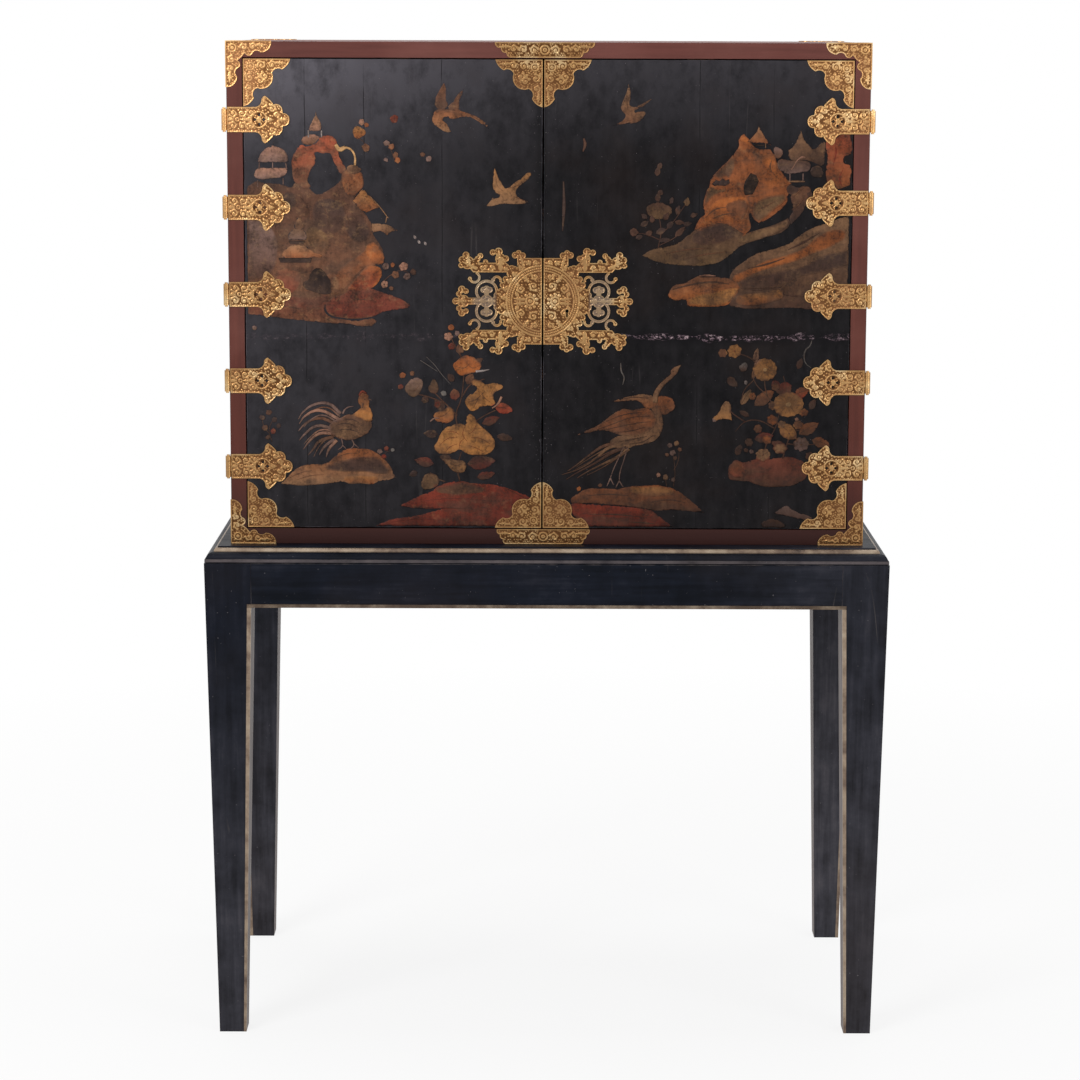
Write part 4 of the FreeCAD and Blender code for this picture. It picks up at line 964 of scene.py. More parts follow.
def cut_out(node, corner, reach):
    """The part of a node that lies near one of its corners."""
    skin = flat_copy(node)
    away = [point for point in skin.verts if max(abs(point.co[i] - corner[i]) for i in range(3)) > reach]
    bmesh.ops.delete(skin, geom=away, context="VERTS")
    return skin


def engrave_corner(skin, corner, directions, beads):
    """Engraves every wing of a corner mount that looks in one of the directions."""
    count = 0
    for outward in directions:
        axis = max(range(3), key=lambda index: abs(outward[index]))
        across = [index for index in range(3) if index != axis]
        low, high = (Vector(corner) - Vector((1, 1, 1)), Vector(corner) + Vector((1, 1, 1)))
        low[axis], high[axis] = corner[axis] - MM / 3, corner[axis] + MM / 3
        folded = lambda co: sorted((abs(co[i] - corner[i]) / MM for i in across), reverse=True)
        count += sink_ground(skin, outward, folded, beads, MOUNT_DEPTH, ENGRAVING_STEP, (low, high))
    return count


print("corner helpers ready")

# %% [markdown]
# Each door has the same casting at its four corners. One is engraved, and it is laid in four times, turned
# over left to right and top to bottom.

# %% Mounts of the doors
door_low, door_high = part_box("left_door_mounts")
corner = (door_low.x, door_low.y, door_high.z)
pattern = cut_out("left_door_mounts", corner, CORNER_REACH)
count = engrave_corner(pattern, corner, [FACING], LAYOUTS["corner"])
for side in ("left", "right"):
    node = f"{side}_door_mounts"
    low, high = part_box(node)
    skin = bmesh.new()
    for flip_z, shift_z in ((1, 0), (-1, low.z + high.z)):
        lay_in(skin, pattern, (1, 1, flip_z), (low.x - door_low.x, 0, shift_z))
        lay_in(skin, pattern, (-1, 1, flip_z), (high.x + door_low.x, 0, shift_z))
    chased(skin, node, f"{side}_door")
pattern.free()
print("engraved points on each door mount:", count)

# %% [markdown]
# A corner mount wraps round from the front on to the side, and at the top on to the top board too. The
# upper one is engraved on three wings and the lower one on two, so one of each is cut out, and the others
# are their mirror images.

# %% Corner mounts of the cabinet
low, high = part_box("carcase_corner_mounts")
skin = bmesh.new()
for corner, wings in (((low.x, low.y, high.z), [FACING, LEFTWARD, UPWARD]),
                      ((low.x, low.y, low.z), [FACING, LEFTWARD])):
    pattern = cut_out("carcase_corner_mounts", corner, CORNER_REACH)
    count = engrave_corner(pattern, corner, wings, LAYOUTS["angle"])
    for flip_x, shift_x in ((1, 0), (-1, low.x + high.x)):
        for flip_y, shift_y in ((1, 0), (-1, low.y + high.y)):
            lay_in(skin, pattern, (flip_x, flip_y, 1), (shift_x, shift_y, 0))
    pattern.free()
    print("engraved points on a corner:", count)
chased(skin, "carcase_corner_mounts", CABINET)

# %% [markdown]
# The centre mounts sit on the rails above and below the seam, the same left and right. The side leaves are
# the hinges' halves on the cabinet. They are one pattern, like the straps, and each is moved to the height
# of its strap.

# %% Centre mounts and side leaves
for node in ("upper_centre_mount", "lower_centre_mount"):
    low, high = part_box(node)
    skin = flat_copy(node)
    middle = (low.x + high.x) / 2
    count = sink_ground(skin, FACING, lambda co: (abs(co.x - middle) / MM, (high.z - co.z) / MM),
                        LAYOUTS["centre"], MOUNT_DEPTH, ENGRAVING_STEP)
    chased(skin, node, CABINET)
    print(node, "engraved points:", count)

leaves_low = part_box("left_hinge_leaves")[0]
pattern = cut_out("left_hinge_leaves", (leaves_low.x, leaves_low.y, strap_middle), LEAF_REACH)
count = sink_ground(pattern, LEFTWARD, lambda co: ((co.y - leaves_low.y) / MM, abs(co.z - strap_middle) / MM),
                    LAYOUTS["side_leaf"], STRAP_DEPTH, ENGRAVING_STEP)
for side, flip_x in (("left", 1), ("right", -1)):
    skin = bmesh.new()
    for number in range(1, 6):
        low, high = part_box(f"{side}_strap_{number}")
        lay_in(skin, pattern, (flip_x, 1, 1), (0, 0, (low.z + high.z) / 2 - strap_middle))
    chased(skin, f"{side}_hinge_leaves", CABINET)
pattern.free()
print("engraved points on each side leaf:", count)

# %% [markdown]
# ## The raised pictures
# Both doors carry scenes in raised lacquer: each figure is built up a fraction of a millimetre with a paste
# of lacquer and sawdust, smoothed, and painted in gold, rose and brown that time has dulled. A figure could
# be a bump in the black lacquer's own finish, but then its edge wouldn't catch the light. So it is cut out
# with a smooth curve, its front is ruled into a grid and swollen like a thin cushion, and the paint lies on
# the grid's points. The paint's fourth number says how well it has kept: it has worn thin at the edge of a
# figure.

# %% Paints
PAINTS = {
    "gold": (170, 114, 64), "pale_gold": (192, 148, 100), "dull_gold": (148, 102, 62),
    "orange": (164, 94, 50), "rust": (134, 78, 48), "brick": (150, 76, 54),
    "russet": (122, 66, 52), "rose": (148, 107, 88),
    "dust": (112, 88, 80), "tan": (130, 96, 70), "brown": (104, 70, 52), "umber": (80, 56, 46),
    "olive": (98, 74, 52), "maroon": (126, 54, 40), "wine": (98, 48, 39), "dusk": (64, 50, 46),
    "ink": (18, 16, 17), "ash": (98, 92, 88), "chalk": (150, 138, 134)}


def painted_lacquer():
    """The painted colour, aged: greyer in patches, painted lighter high up and at the left as painted light,
    rubbed and flaked.
    """
    art = Finish("painted_lacquer", roughness=0.42, specular=0.06)
    patches = art.noise(34.0, detail=5.0, roughness=0.6)
    uneven = patches + art.noise(3.0, (70, 70, 16)) * 0.5
    aged = art.ramp(art.noise(26.0, (1, 1, 1.8), detail=5.0, roughness=0.65), (0.46, 0.0), (0.62, 0.6))
    dulled = art.mix(aged, art.attribute("paint", "Color"), (76, 58, 48))
    across, _, up = art.axes()
    # Painted light: the paint and its light brush flecks are brighter towards the left and high up.
    painted_light_on_paint = art.between(across, 0.45, -0.44) * 0.35 + art.between(up, 0.76, 1.45) * 0.37
    level = (uneven * 1.9 - 0.30) * (painted_light_on_paint + 0.34)
    shaded = art.value("ShaderNodeHueSaturation", "Color", {"Value": level, "Color": dulled})
    marks = art.noise(88.0, (1, 1, 1.3), detail=5.0, roughness=0.7)
    darker = art.mix(art.ramp(marks, (0.32, 0.55), (0.47, 0.0)), shaded, (44, 33, 30))
    brushwork = art.mix(art.ramp(marks, (0.55, 0.0), (0.68, 0.30)) * painted_light_on_paint, darker, (186, 144, 100))
    rubbed = art.ramp(art.noise(330.0, detail=3.0), (0.50, 0.0), (0.64, 0.6))
    rubbed = rubbed * art.ramp(patches, (0.36, 1.0), (0.56, 0.15))
    flaky = art.noise(130.0, detail=5.0, roughness=0.7)
    kept = art.ramp(art.attribute("paint", "Alpha") * 0.34 + flaky, (0.47, 0.0), (0.57, 1.0))
    worn = art.mix(kept, door_ground(art)[0], art.mix(rubbed, brushwork, (34, 28, 27)))
    return art.dress(worn, art.ramp(patches, (0.3, 0.36), (0.7, 0.54)), uneven, 0.0003, 0.6)


PAINTED_LACQUER = painted_lacquer()
print("paints:", len(PAINTS))

# %% [markdown]
# A brush leaves no corners, so an outline is a Bezier curve, with a sharp point only where one is asked
# for. A closed curve fills itself, and an open one gets a round section. A curve is drawn lying flat, so
# its mesh is turned upright.

# %% Smooth outlines stood up against the doors
DOOR_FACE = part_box("left_door")[0].y


def new_curve(points, closed):
    """A smooth line through places in millimetres: a third number makes a sharp corner there."""
    curve = bpy.data.curves.new("outline", "CURVE")
    curve.resolution_u = 4
    curve.dimensions = "2D" if closed else "3D"
    spline = curve.splines.new("BEZIER")
    spline.bezier_points.add(len(points) - 1)
    spline.use_cyclic_u = closed
    for knot, point in zip(spline.bezier_points, points):
        knot.co = (point[0] * MM, point[1] * MM, 0)
    for knot, point in zip(spline.bezier_points, points):
        knot.handle_left_type = knot.handle_right_type = "VECTOR" if len(point) > 2 else "AUTO"
    return curve


def stood_up(curve):
    """The curve as a closed skin to be painted, turned upright so that its front looks out of the door."""
    carrier = bpy.data.objects.new("carrier", curve)
    mesh = bpy.data.meshes.new_from_object(carrier)
    skin = bmesh.new()
    skin.from_mesh(mesh)
    bpy.data.objects.remove(carrier)
    bpy.data.meshes.remove(mesh)
    bpy.data.curves.remove(curve)
    bmesh.ops.remove_doubles(skin, verts=skin.verts, dist=0.00001)
    bmesh.ops.rotate(skin, cent=(0, 0, 0), matrix=Matrix.Rotation(math.pi / 2, 3, "X"), verts=skin.verts)
    bmesh.ops.recalc_face_normals(skin, faces=skin.faces)
    skin.verts.layers.float_color.new("paint")
    return skin


print("door face at", round(DOOR_FACE, 4))

# %% [markdown]
# Each figure could have a material of its own, but old figures shade from one colour to another and fade at
# their edges. So every point of a figure gets a colour: a blend of two paints from top to foot, another
# along the rim, and at the edge what is painted below.

# %% Laying on the paint
RIM_WIDTH = 4.0
SOFT_EDGE = 3.6
WORN_STROKE = 0.6
NEAR_PAINT = 3 * MM


def paint_below(art, points):
    """The colour already painted under each place, or nothing where the door is bare."""
    layer = art.verts.layers.float_color.get("paint")
    if layer is None:
        return {}
    tree = KDTree(len(art.verts))
    for index, point in enumerate(art.verts):
        tree.insert((point.co.x, 0, point.co.z), index)
    tree.balance()
    art.verts.ensure_lookup_table()
    found = {point: tree.find((point.co.x, 0, point.co.z)) for point in points}
    return {point: np.array(art.verts[index][layer])
            for point, (_, index, gap) in found.items() if gap < NEAR_PAINT}


def colour_in(skin, top, foot, rim=None, away=None, below=None):
    """Paints the points from one colour at the top to another at the foot, with a third near the rim."""
    layer = skin.verts.layers.float_color.get("paint")
    colours = [np.array(srgb(PAINTS[name])) for name in (top, foot, rim or top)]
    heights = [point.co.z for point in skin.verts]
    low, span = min(heights), max(max(heights) - min(heights), MM)
    reach = min(SOFT_EDGE, 0.5 * max(away.values())) if away else SOFT_EDGE
    for point in skin.verts:
        share = (point.co.z - low) / span
        colour = colours[0] * share + colours[1] * (1 - share)
        colour[3] = WORN_STROKE
        if away is not None:
            distance = away.get(point, 0.0)
            near = max(0.0, 1 - distance / RIM_WIDTH) if rim else 0.0
            colour = colour * (1 - near) + colours[2] * near
            soft = max(0.0, 1 - distance / reach) if reach else 0.0
            colour[3] = 1 if below is None else 1 - soft
            if below and point in below:
                colour = colour * (1 - soft) + below[point] * soft
                colour[3] = 1
        point[layer] = colour


print("soft edges of paint:", SOFT_EDGE, "mm")

# %% [markdown]
# A lacquerer builds a figure up in layers and draws the fine lines last. A shape here is a cushion that
# grows thicker with its level, so a later layer covers an earlier one, and a stroke is a tube pressed
# nearly flat.

# %% Raised shapes and brush strokes
BUILT_UP = 0.25 * MM
LAYER = 0.15 * MM
SWELL = 0.2 * MM
SWELL_REACH = 3
SUNK = 0.1 * MM
BRUSH = 0.3 * MM
BLENDED_FROM = 60


def raised(art, points, top, foot=None, level=0, rim=None, step=3.0):
    """Adds a built-up shape to the art: a higher level covers the lower ones."""
    thick = BUILT_UP + level * LAYER + SUNK
    curve = new_curve(points, True)
    curve.fill_mode = "BOTH"
    curve.extrude = thick / 2
    skin = stood_up(curve)
    bmesh.ops.dissolve_limit(skin, angle_limit=math.radians(1), verts=skin.verts, edges=skin.edges)
    bmesh.ops.translate(skin, vec=(0, DOOR_FACE + SUNK - thick / 2, 0), verts=skin.verts)
    rule_grid(skin, FACING, None, step * MM)
    faces = faces_looking(skin, FACING)
    shade(faces, True)
    front = list({corner for face in faces for corner in face.verts})
    distances = rim_distance(faces, front)
    for point, distance in zip(front, distances):
        point.co.y -= SWELL * (1 - math.exp(-distance / SWELL_REACH))
    below = None if top == "ink" else paint_below(art, front) if level and len(front) > BLENDED_FROM else {}
    colour_in(skin, top, foot or top, rim, dict(zip(front, distances)), below)
    lay_in(art, skin)
    skin.free()


def stroke(art, points, widths, paint, level=1, foot=None):
    """A flat brush stroke: widths in millimetres are spread evenly from its start to its end."""
    curve = new_curve(points, False)
    curve.bevel_depth = MM / 2
    curve.bevel_resolution = 1
    curve.use_fill_caps = True
    for index, knot in enumerate(curve.splines[0].bezier_points):
        share = index / (len(points) - 1)
        knot.radius = float(np.interp(share, np.linspace(0, 1, len(widths)), widths))
    skin = stood_up(curve)
    bmesh.ops.scale(skin, vec=(1, BRUSH / (max(widths) * MM / 2), 1), verts=skin.verts)
    bmesh.ops.translate(skin, vec=(0, DOOR_FACE - BUILT_UP - level * LAYER, 0), verts=skin.verts)
    shade(skin.faces, True)
    colour_in(skin, paint, foot or paint)
    lay_in(art, skin)
    skin.free()


print("layers rise by", LAYER / MM, "mm")

# %% [markdown]
# Leaves and flowers come back all over the doors in many sizes. Each is a function of its place, turn and
# size, which makes a spray of them a short list.

# %% Leaves and blossoms
SMALL = 5.6
FULL_BLOOM = 12
HEART_CORNERS = (0, 1.57, 3.14, 4.71)


def turned(u, v, degrees, shape):
    """Places given as (along, across) from a start, turned by an angle; sharp marks are kept."""
    turn = math.radians(degrees)
    cosine, sine = math.cos(turn), math.sin(turn)
    return [(u + a * cosine - b * sine, v + a * sine + b * cosine, *sharp) for a, b, *sharp in shape]


def painted_leaf(art, u, v, degrees, length, width, top, foot=None, level=0):
    """A pointed leaf from its stalk to its tip, with a vein."""
    half = width / 2
    shape = [(0, 0, 1), (0.3 * length, half), (0.7 * length, 0.8 * half), (length, 0, 1),
             (0.7 * length, -0.8 * half), (0.3 * length, -half)]
    raised(art, turned(u, v, degrees, shape), top, foot, level, None, 2.5)
    vein = turned(u, v, degrees, [(0.1 * length, 0), (0.5 * length, 0.06 * width), (0.85 * length, 0)])
    stroke(art, vein, (0.7, 0.4), "umber", level + 1)


def blossom(art, u, v, radius, petals, paint, heart="brown", level=1, squash=1.0, turn=0):
    """A flower seen from the front: a scalloped edge, a fold between petals, and a heart."""
    def at(angle, share):
        return share * radius * math.cos(angle), squash * share * radius * math.sin(angle)

    notch = 0.86 if petals < FULL_BLOOM else 0.95
    edge = [at(math.pi * index / petals, notch if index % 2 else 1.0) for index in range(2 * petals)]
    raised(art, turned(u, v, turn, edge), paint, paint, level, None, 2.0)
    if radius < SMALL:
        return
    for index in range(petals):
        fold = [at(math.pi * (2 * index + 1) / petals, share) for share in (0.32, 0.6, 0.84)]
        stroke(art, turned(u, v, turn, fold), (0.25, 0.6, 0.3), "brown", level + 1)
    core = [at(angle, 0.22) for angle in HEART_CORNERS]
    raised(art, turned(u, v, turn, core), heart, heart, level + 1, None, 2.0)


print("brushes ready")

# %% [markdown]
# A picture is one group of figures on one door. Each place in it is written across and up, in millimetres
# from the picture's own middle, so "12,-40" is 12 mm to the right and 40 mm down. A ! after a place makes a
# sharp corner there, and a / parts one outline, stroke, leaf or blossom from the next. What is drawn first
# lies under what comes later.

# %% Pictures
class Picture:
    """One group of figures, drawn from its own middle."""

    def __init__(self, name, side, across, up):
        self.name, self.side, self.across, self.up = name, side, across, up
        self.art = bmesh.new()

    def places(self, text):
        found = []
        for word in text.split():
            u, v = word.rstrip("!").split(",")
            found.append((self.across + float(u), self.up + float(v), *[1] * word.count("!")))
        return found

    def lines(self, text):
        return [self.places(line) for line in text.split("/")]

    def shapes(self, top, foot, level, text, rim=None, step=3.0):
        """Raised shapes of one paint at the top and one at the foot."""
        for outline in self.lines(text):
            raised(self.art, outline, top, foot, level, rim, step)

    def strokes(self, paint, level, widths, text, foot=None):
        for line in self.lines(text):
            stroke(self.art, line, widths, paint, level, foot)

    def leaves(self, level, text):
        """Each leaf is its stalk's place, its direction in degrees, its length, its width and its paints."""
        for spec in text.split("/"):
            stalk, degrees, length, width, *paints = spec.split()
            [(u, v)] = self.places(stalk)
            painted_leaf(self.art, u, v, float(degrees), float(length), float(width), paints[0], paints[-1],
                         level)

    def blossom(self, place, radius, *look):
        [(u, v)] = self.places(place)
        blossom(self.art, u, v, radius, *look)

    def blossoms(self, petals, level, squash, spin, text):
        """Each blossom is its place, its radius and its paint, and each is turned by its own place."""
        for spec in text.split("/"):
            place, radius, paint = spec.split()
            turn = self.places(place)[0][0] * spin
            self.blossom(place, float(radius), petals, paint, "umber", level, squash, turn)

    def finish(self):
        """Makes the group a piece of its door."""
        count = len(self.art.faces)
        piece_from(self.art, self.name, f"{self.side}_door", "black_lacquer", PAINTED_LACQUER)
        print(self.name, "faces:", count)


print("pictures can be drawn")

# %% [markdown]
# The left door's upper scene is a steep rocky island with small pavilions on it, an arched red rock at its
# top, tiers of roofs at its side and a cave at its foot. The island goes down first and its details on top
# of it.

# %% Island and rocks of the left door
island = Picture("island_and_rocks", "left", -330, 1190)
island.shapes("umber", "brown", 0, """
    -107,72! -95,80 -75,78 -55,76 -42,72 -36,80 -18,72 -5,62 10,68 25,78 34,90 45,100 58,94 62,78 56,68
    50,55 58,42 68,30 74,18 76,5 84,-8 90,-20 87,-30 78,-40 68,-50 50,-70 35,-82 10,-90 -15,-92 -42,-90
    -70,-85 -107,-82!""")
island.shapes("wine", "brown", 1, """
    -107,-78! -70,-81 -42,-85 -15,-86 12,-86 4,-104 10,-114 30,-119 55,-121 74,-118 80,-123 30,-126
    -10,-123 -50,-119 -107,-112!""")
island.shapes("russet", "wine", 2, """
    12,-90 35,-80 47,-68 68,-73 90,-80 108,-86 122,-93 129,-99 115,-104 90,-108 78,-114 55,-118 30,-117
    12,-112 6,-100""")
island.shapes("brick", "brown", 1, """
    -36,78 -41,100 -41,113 -35,126 -28,133 -20,131 -10,134 0,144 12,147 22,142 25,132 27,120 32,108 37,98
    34,92 28,93 23,102 18,112 14,121 4,121 -8,122 -7,114 -8,106 -13,99 -17,90 -18,80 -15,72""")
island.shapes("rust", "brown", 1, """
    34,96 42,98 58,95 62,85 62,74 56,66 48,60 38,62 32,72 30,84""", rim="orange")
island.shapes("dusk", "umber", 1, "-8,50 12,57 30,51 38,32 33,14 14,3 -4,8 -13,28")
island.shapes("olive", "brown", 1, "-24,10 -8,17 6,11 13,-6 9,-24 -4,-31 -17,-25 -25,-8")
island.shapes("umber", "dusk", 1, "39,32 54,36 67,22 73,6 64,-6 46,-5 35,12")
island.shapes("dusk", "dusk", 1, "-55,62 -44,66 -35,57 -37,44 -50,41")
island.shapes("dust", "umber", 1, "-106,26! -82,22 -66,6 -62,-22 -70,-50 -90,-62 -106,-60!")
island.shapes("rust", "brown", 2, """
    78,-9 86,-18 89,-29 78,-40 62,-45 50,-57 36,-73 17,-83 12,-68 24,-49 40,-35 58,-23 68,-13""")
island.shapes("orange", "rust", 3, "74,-6 86,-16 92,-28 90,-38 78,-38 68,-30 64,-18")
island.shapes("rust", "maroon", 3, """
    37,-76! 46,-64 58,-50 68,-41 80,-41 88,-48 86,-60 76,-72 57,-78""", rim="orange")
island.shapes("brown", "russet", 1, "-58,-42 -40,-41 -28,-54 -34,-74 -50,-84 -62,-74 -66,-56")
island.shapes("ink", "dusk", 2, """
    -19,-62 -15,-52 -7,-45 3,-48 10,-58 15,-66 15,-80 8,-83 -2,-82 -15,-78 -24,-74 -26,-66""")
island.shapes("tan", "brown", 3, "15,-62 21,-56 26,-62 27,-75 21,-82! 15,-81!")
island.strokes("pale_gold", 2, (5, 7, 5), "22,134 28,127 36,130")
island.strokes("pale_gold", 2, (3.4, 2.6, 3.4), "36,130 44,127 50,117 50,104")
island.shapes("tan", "brown", 2, "39,102 45,105 54,103 59,98 55,93 40,94")
island.strokes("umber", 2, (0.6, 1.8, 0.5), """
    -32,60 -20,46 -16,28 / 0,50 10,30 8,6 / 30,48 40,24 38,0 / -70,60 -62,38 -66,14 / 30,-96 55,-90 90,-96
    / -30,-104 -60,-100 -90,-98""")
island.finish()

# %% [markdown]
# Small roofs stand on the slope, and their posts are strokes. No two are drawn alike, so each roof has an
# outline of its own.

# %% Pavilions of the left door
pavilions = Picture("pavilions", "left", -330, 1260)
pavilions.shapes("rose", "dust", 0, """
    -91,38! -87,49 -77,59 -70,62 -68,68! -66,62 -56,58 -48,49 -46,38! / -89,30! -48,30! -48,24 -54,18
    -70,15 -90,14 -97,18! -94,26""")
pavilions.strokes("dust", 1, (1.6, 1.6), """
    -88,38 -89,28 / -69,38 -69,28 / -50,37 -49,28 / -91,12 -91,2 / -54,15 -54,6""")
pavilions.shapes("tan", "rose", 0, "-6,111! -8,104 -14,92 -18,83! 2,83! 1,94 -4,104")
pavilions.shapes("rose", "brown", 0, "-26,72 -22,76 -2,76 0,71 -4,66 -22,64 -27,67")
pavilions.strokes("chalk", 1, (2.2, 2.2), "-17,84 -17,74 / 2,84 2,74")
pavilions.shapes("dull_gold", "rust", 3, "61,2! 72,-11! 86,-26! 78,-29 66,-34! 56,-28 47,-17! 54,-8")
pavilions.strokes("tan", 4, (1.8, 1.2), "72,-11 86,-26 95,-38 98,-42")
pavilions.strokes("tan", 1, (1.6, 1.6), "96,-40 94,-49")
pavilions.shapes("tan", "brown", 2, """
    74,-50! 94,-51 102,-54 112,-60! 102,-62 96,-67! 90,-62 74,-63! / -38,-57 -36,-48 -32,-41 -27,-48
    -25,-57""")
pavilions.shapes("tan", "dust", 2, "-48,-70 -44,-62 -34,-57 -24,-61 -20,-70 -22,-74! -46,-74!")
pavilions.shapes("tan", "rust", 2, "-56,-94 -50,-86 -36,-81 -22,-83 -10,-92 2,-97 -10,-99 -56,-99")
pavilions.shapes("brown", "umber", 1, "-66,-114! -60,-110 -15,-110 -4,-114! -10,-120 -62,-120")
pavilions.shapes("ink", "dusk", 3, """
    -47,-75! -23,-75! -25,-80! -45,-80! / -62,-100! -13,-100! -15,-107! -59,-107!""")
pavilions.finish()

# %% [markdown]
# Birds fly over the island and small blossoms drift beside it. A bird is one outline with its far wings
# behind it, and feathers are strokes.

# %% Flying birds and drifting blossoms of the left door
birds = Picture("birds_and_blossoms", "left", -160, 1280)
birds.shapes("brown", "umber", 0, "-3,98 -4,107 2,121 9,133! 13,121 12,110 15,100 6,94")
birds.shapes("umber", "brown", 0, "14,97 22,106 29,116 38,125! 35,116 31,106 30,96 22,93")
birds.shapes("rust", "tan", 1, """
    74,66! 66,72 55,80 44,84 33,83 22,81 9,83 7,79 10,77 15,71 19,63! 14,62 2,68 -7,76 -7,86 -3,93 5,96
    16,94 28,97 33,93 46,89 62,81 71,73""")
birds.shapes("dull_gold", "tan", 1, """
    70,-44! 75,-38 79,-31! 84,-33 90,-29 84,-25 80,-17 80,-5 82,12! 86,1 92,-10 99,-18 104,-16 113,-9
    122,-3 130,4 135,3 133,-3 122,-12 114,-20 113,-26 118,-32 129,-36 134,-40! 113,-41 91,-41 78,-44""")
birds.strokes("brown", 3, (0.4, 0.9, 0.3), """
    100,-18 112,-16 124,-8 / 94,-22 86,-14 84,0 / 110,-30 120,-34 130,-37 / 48,86 60,79 70,71 / 2,88 12,91
    24,90 / 8,94 16,95 26,93""")
birds.shapes("dull_gold", "rust", 0, "-123,65 -118,70 -110,68 -104,61 -110,55 -117,52 -122,58", step=2.0)
birds.blossoms(5, 0, 0.85, 7, """
    -110,76 5 rose / -103,72 4 rust / -63,81 7 wine / -104,39 7 brown / -74,46 5 dust / -67,41 5 rust /
    -61,29 5 brown / -75,22 4 dust / -58,22 5 rust / -22,30 4 brown / -13,24 5 dust""")
birds.blossoms(5, 2, 0.9, 5, """
    -88,-138 5 rust / -76,-132 6 dust / -62,-144 6 brown / -50,-132 7 rose / -45,-146 6 dust / -66,-130 4
    rust / -36,-140 5 umber / -78,-158 6 rose / -68,-164 4 brown""")
birds.leaves(0, "-32,-92 120 6 3.5 chalk / -17,-101 120 6 3.5 chalk / -26,-99 120 6 3.5 chalk")
birds.strokes("umber", 0, (1.4, 0.8), "-80,-154 -68,-144 -54,-138 -40,-142")
birds.strokes("umber", 0, (1, 0.6), "-116,54 -106,46 -102,32 / -72,44 -66,32 -62,18")
birds.finish()

# %% [markdown]
# Below the joint a cockerel stands on a mound, facing a tall peony on red ground. The tail is a fan of long
# strokes that taper towards their tips.

# %% Cockerel on its mound
cockerel = Picture("cockerel", "left", -300, 890)
cockerel.shapes("rust", "tan", 0, """
    -92,-62! -83,-53 -74,-44 -64,-37 -50,-33 -35,-32 -22,-30 -13,-22 -3,-14 10,-9 28,-9 43,-12 54,-19
    64,-28 72,-40 78,-52! 65,-56 48,-58 25,-61 4,-59 -20,-61 -50,-64 -75,-64""")
cockerel.shapes("umber", "dusk", 1, """
    -26,-38 -12,-30 2,-25 18,-21 36,-20 52,-22 62,-32 68,-44 52,-48 32,-45 10,-45 -10,-44""")
cockerel.shapes("dull_gold", "rust", 1, "0,-54 15,-49 35,-49 52,-53 50,-59 25,-61 3,-59")
cockerel.strokes("brown", 2, (0.5, 1.4, 0.4), """
    -80,-54 -64,-46 -46,-42 / -68,-56 -48,-50 -28,-48 / -8,-22 6,-17 24,-16""")
for index, feather in enumerate(cockerel.lines("""
    -3,42 -20.7,56.7 -40.9,55.6 -58.2,44 -65.1,33.7 / -6,34 -35.1,46.9 -55.3,38.3 -64,26.7 / -10,27
    -35,35.4 -55.3,26.7 -65,16.4 / -12,19 -38,23.9 -55.3,12.3 -64,2.5 / -14,13 -35,12.3 -49.5,0.8
    -58,-10.8 / -14,8 -35,0.8 -43.8,-10.8 -51.3,-19.4 / -12,5 -28,-7.9 -35,-19.4 / -9,3 -20.7,-10.8
    -24.8,-22.3 / -4,38 -22,51 -40,48 -52,38 / -8,30 -30,40 -48,32 -57,22 / -11,16 -32,18 -48,7 -57,-3 /
    -11,10 -26,3 -37,-10 -43,-22""")):
    paint = ("dust", "rose", "brown")[index % 3]
    widths = (5.5, 4.6, 3.2, 1.2) if index < 8 else (3, 2.2, 1)
    stroke(cockerel.art, feather, widths, paint, 1 + index % 2, "dust")
cockerel.strokes("dust", 1, (3, 2, 1), "0,42 3,48 9,52 16,53")
cockerel.shapes("umber", "tan", 3, """
    -1,37 7,41 17,41 30,36 41,32 43,24 39,16 32,11 22,6 10,3 -2,4 -10,8 -18,14 -20,24 -12,32""", rim="brown")
cockerel.shapes("rust", "gold", 4, """
    24,68 29,73 36,71 39,63 39,55 42,46 44,38 42,31 34,31 25,35 13,40! 21,46 26,52 23,59""")
cockerel.strokes("maroon", 5, (2, 3.4, 2), "24,69 29,75 35,72")
cockerel.strokes("dust", 5, (2, 0.6), "38,64 43,62")
cockerel.strokes("brown", 6, (2.4, 2), "30,58 29,51")
cockerel.strokes("ink", 6, (1.6, 1.6), "32,64 33,63")
cockerel.strokes("dusk", 5, (0.4, 1.3, 0.5), "-10,25 5,28 22,22 / -8,18 8,19 25,14 / 0,32 12,34 24,29")
cockerel.strokes("dust", 2, (2, 1.2), "-2,6 -1,-6 -7,-11 / -1,-4 5,-10 / 13,5 16,-4 11,-10 / 16,-2 23,-8")
cockerel.finish()

# %% [markdown]
# Little sprays fill the bare lacquer between the figures. They are blossoms on thin stalks, in paints that
# have worn nearly to the tone of the ground.

# %% Small plants by the cockerel
plants = Picture("small_plants", "left", -330, 900)
plants.blossoms(5, 2, 0.9, 3, """
    84,-23 4.5 dust / 94,-19 4 wine / 103,-21 3.6 ash / 90,-31 4 maroon / -88,26 5 dusk / -78,34 5 umber /
    -70,23 4.5 dusk / -84,11 5 umber / -72,6 4.5 wine / -64,14 4 dusk / -80,-3 4 umber / -98,158 4 dust""")
plants.strokes("umber", 0, (1, 0.6), "94,-34 92,-26 102,-22 / -74,-10 -78,8 -72,24 / -76,0 -86,14 -88,26")
plants.finish()

# %% [markdown]
# The peony has broad gold blooms, small ones drifting above, and dark leaves. The stalks are drawn first,
# then the leaves, and the blooms hide where they meet.

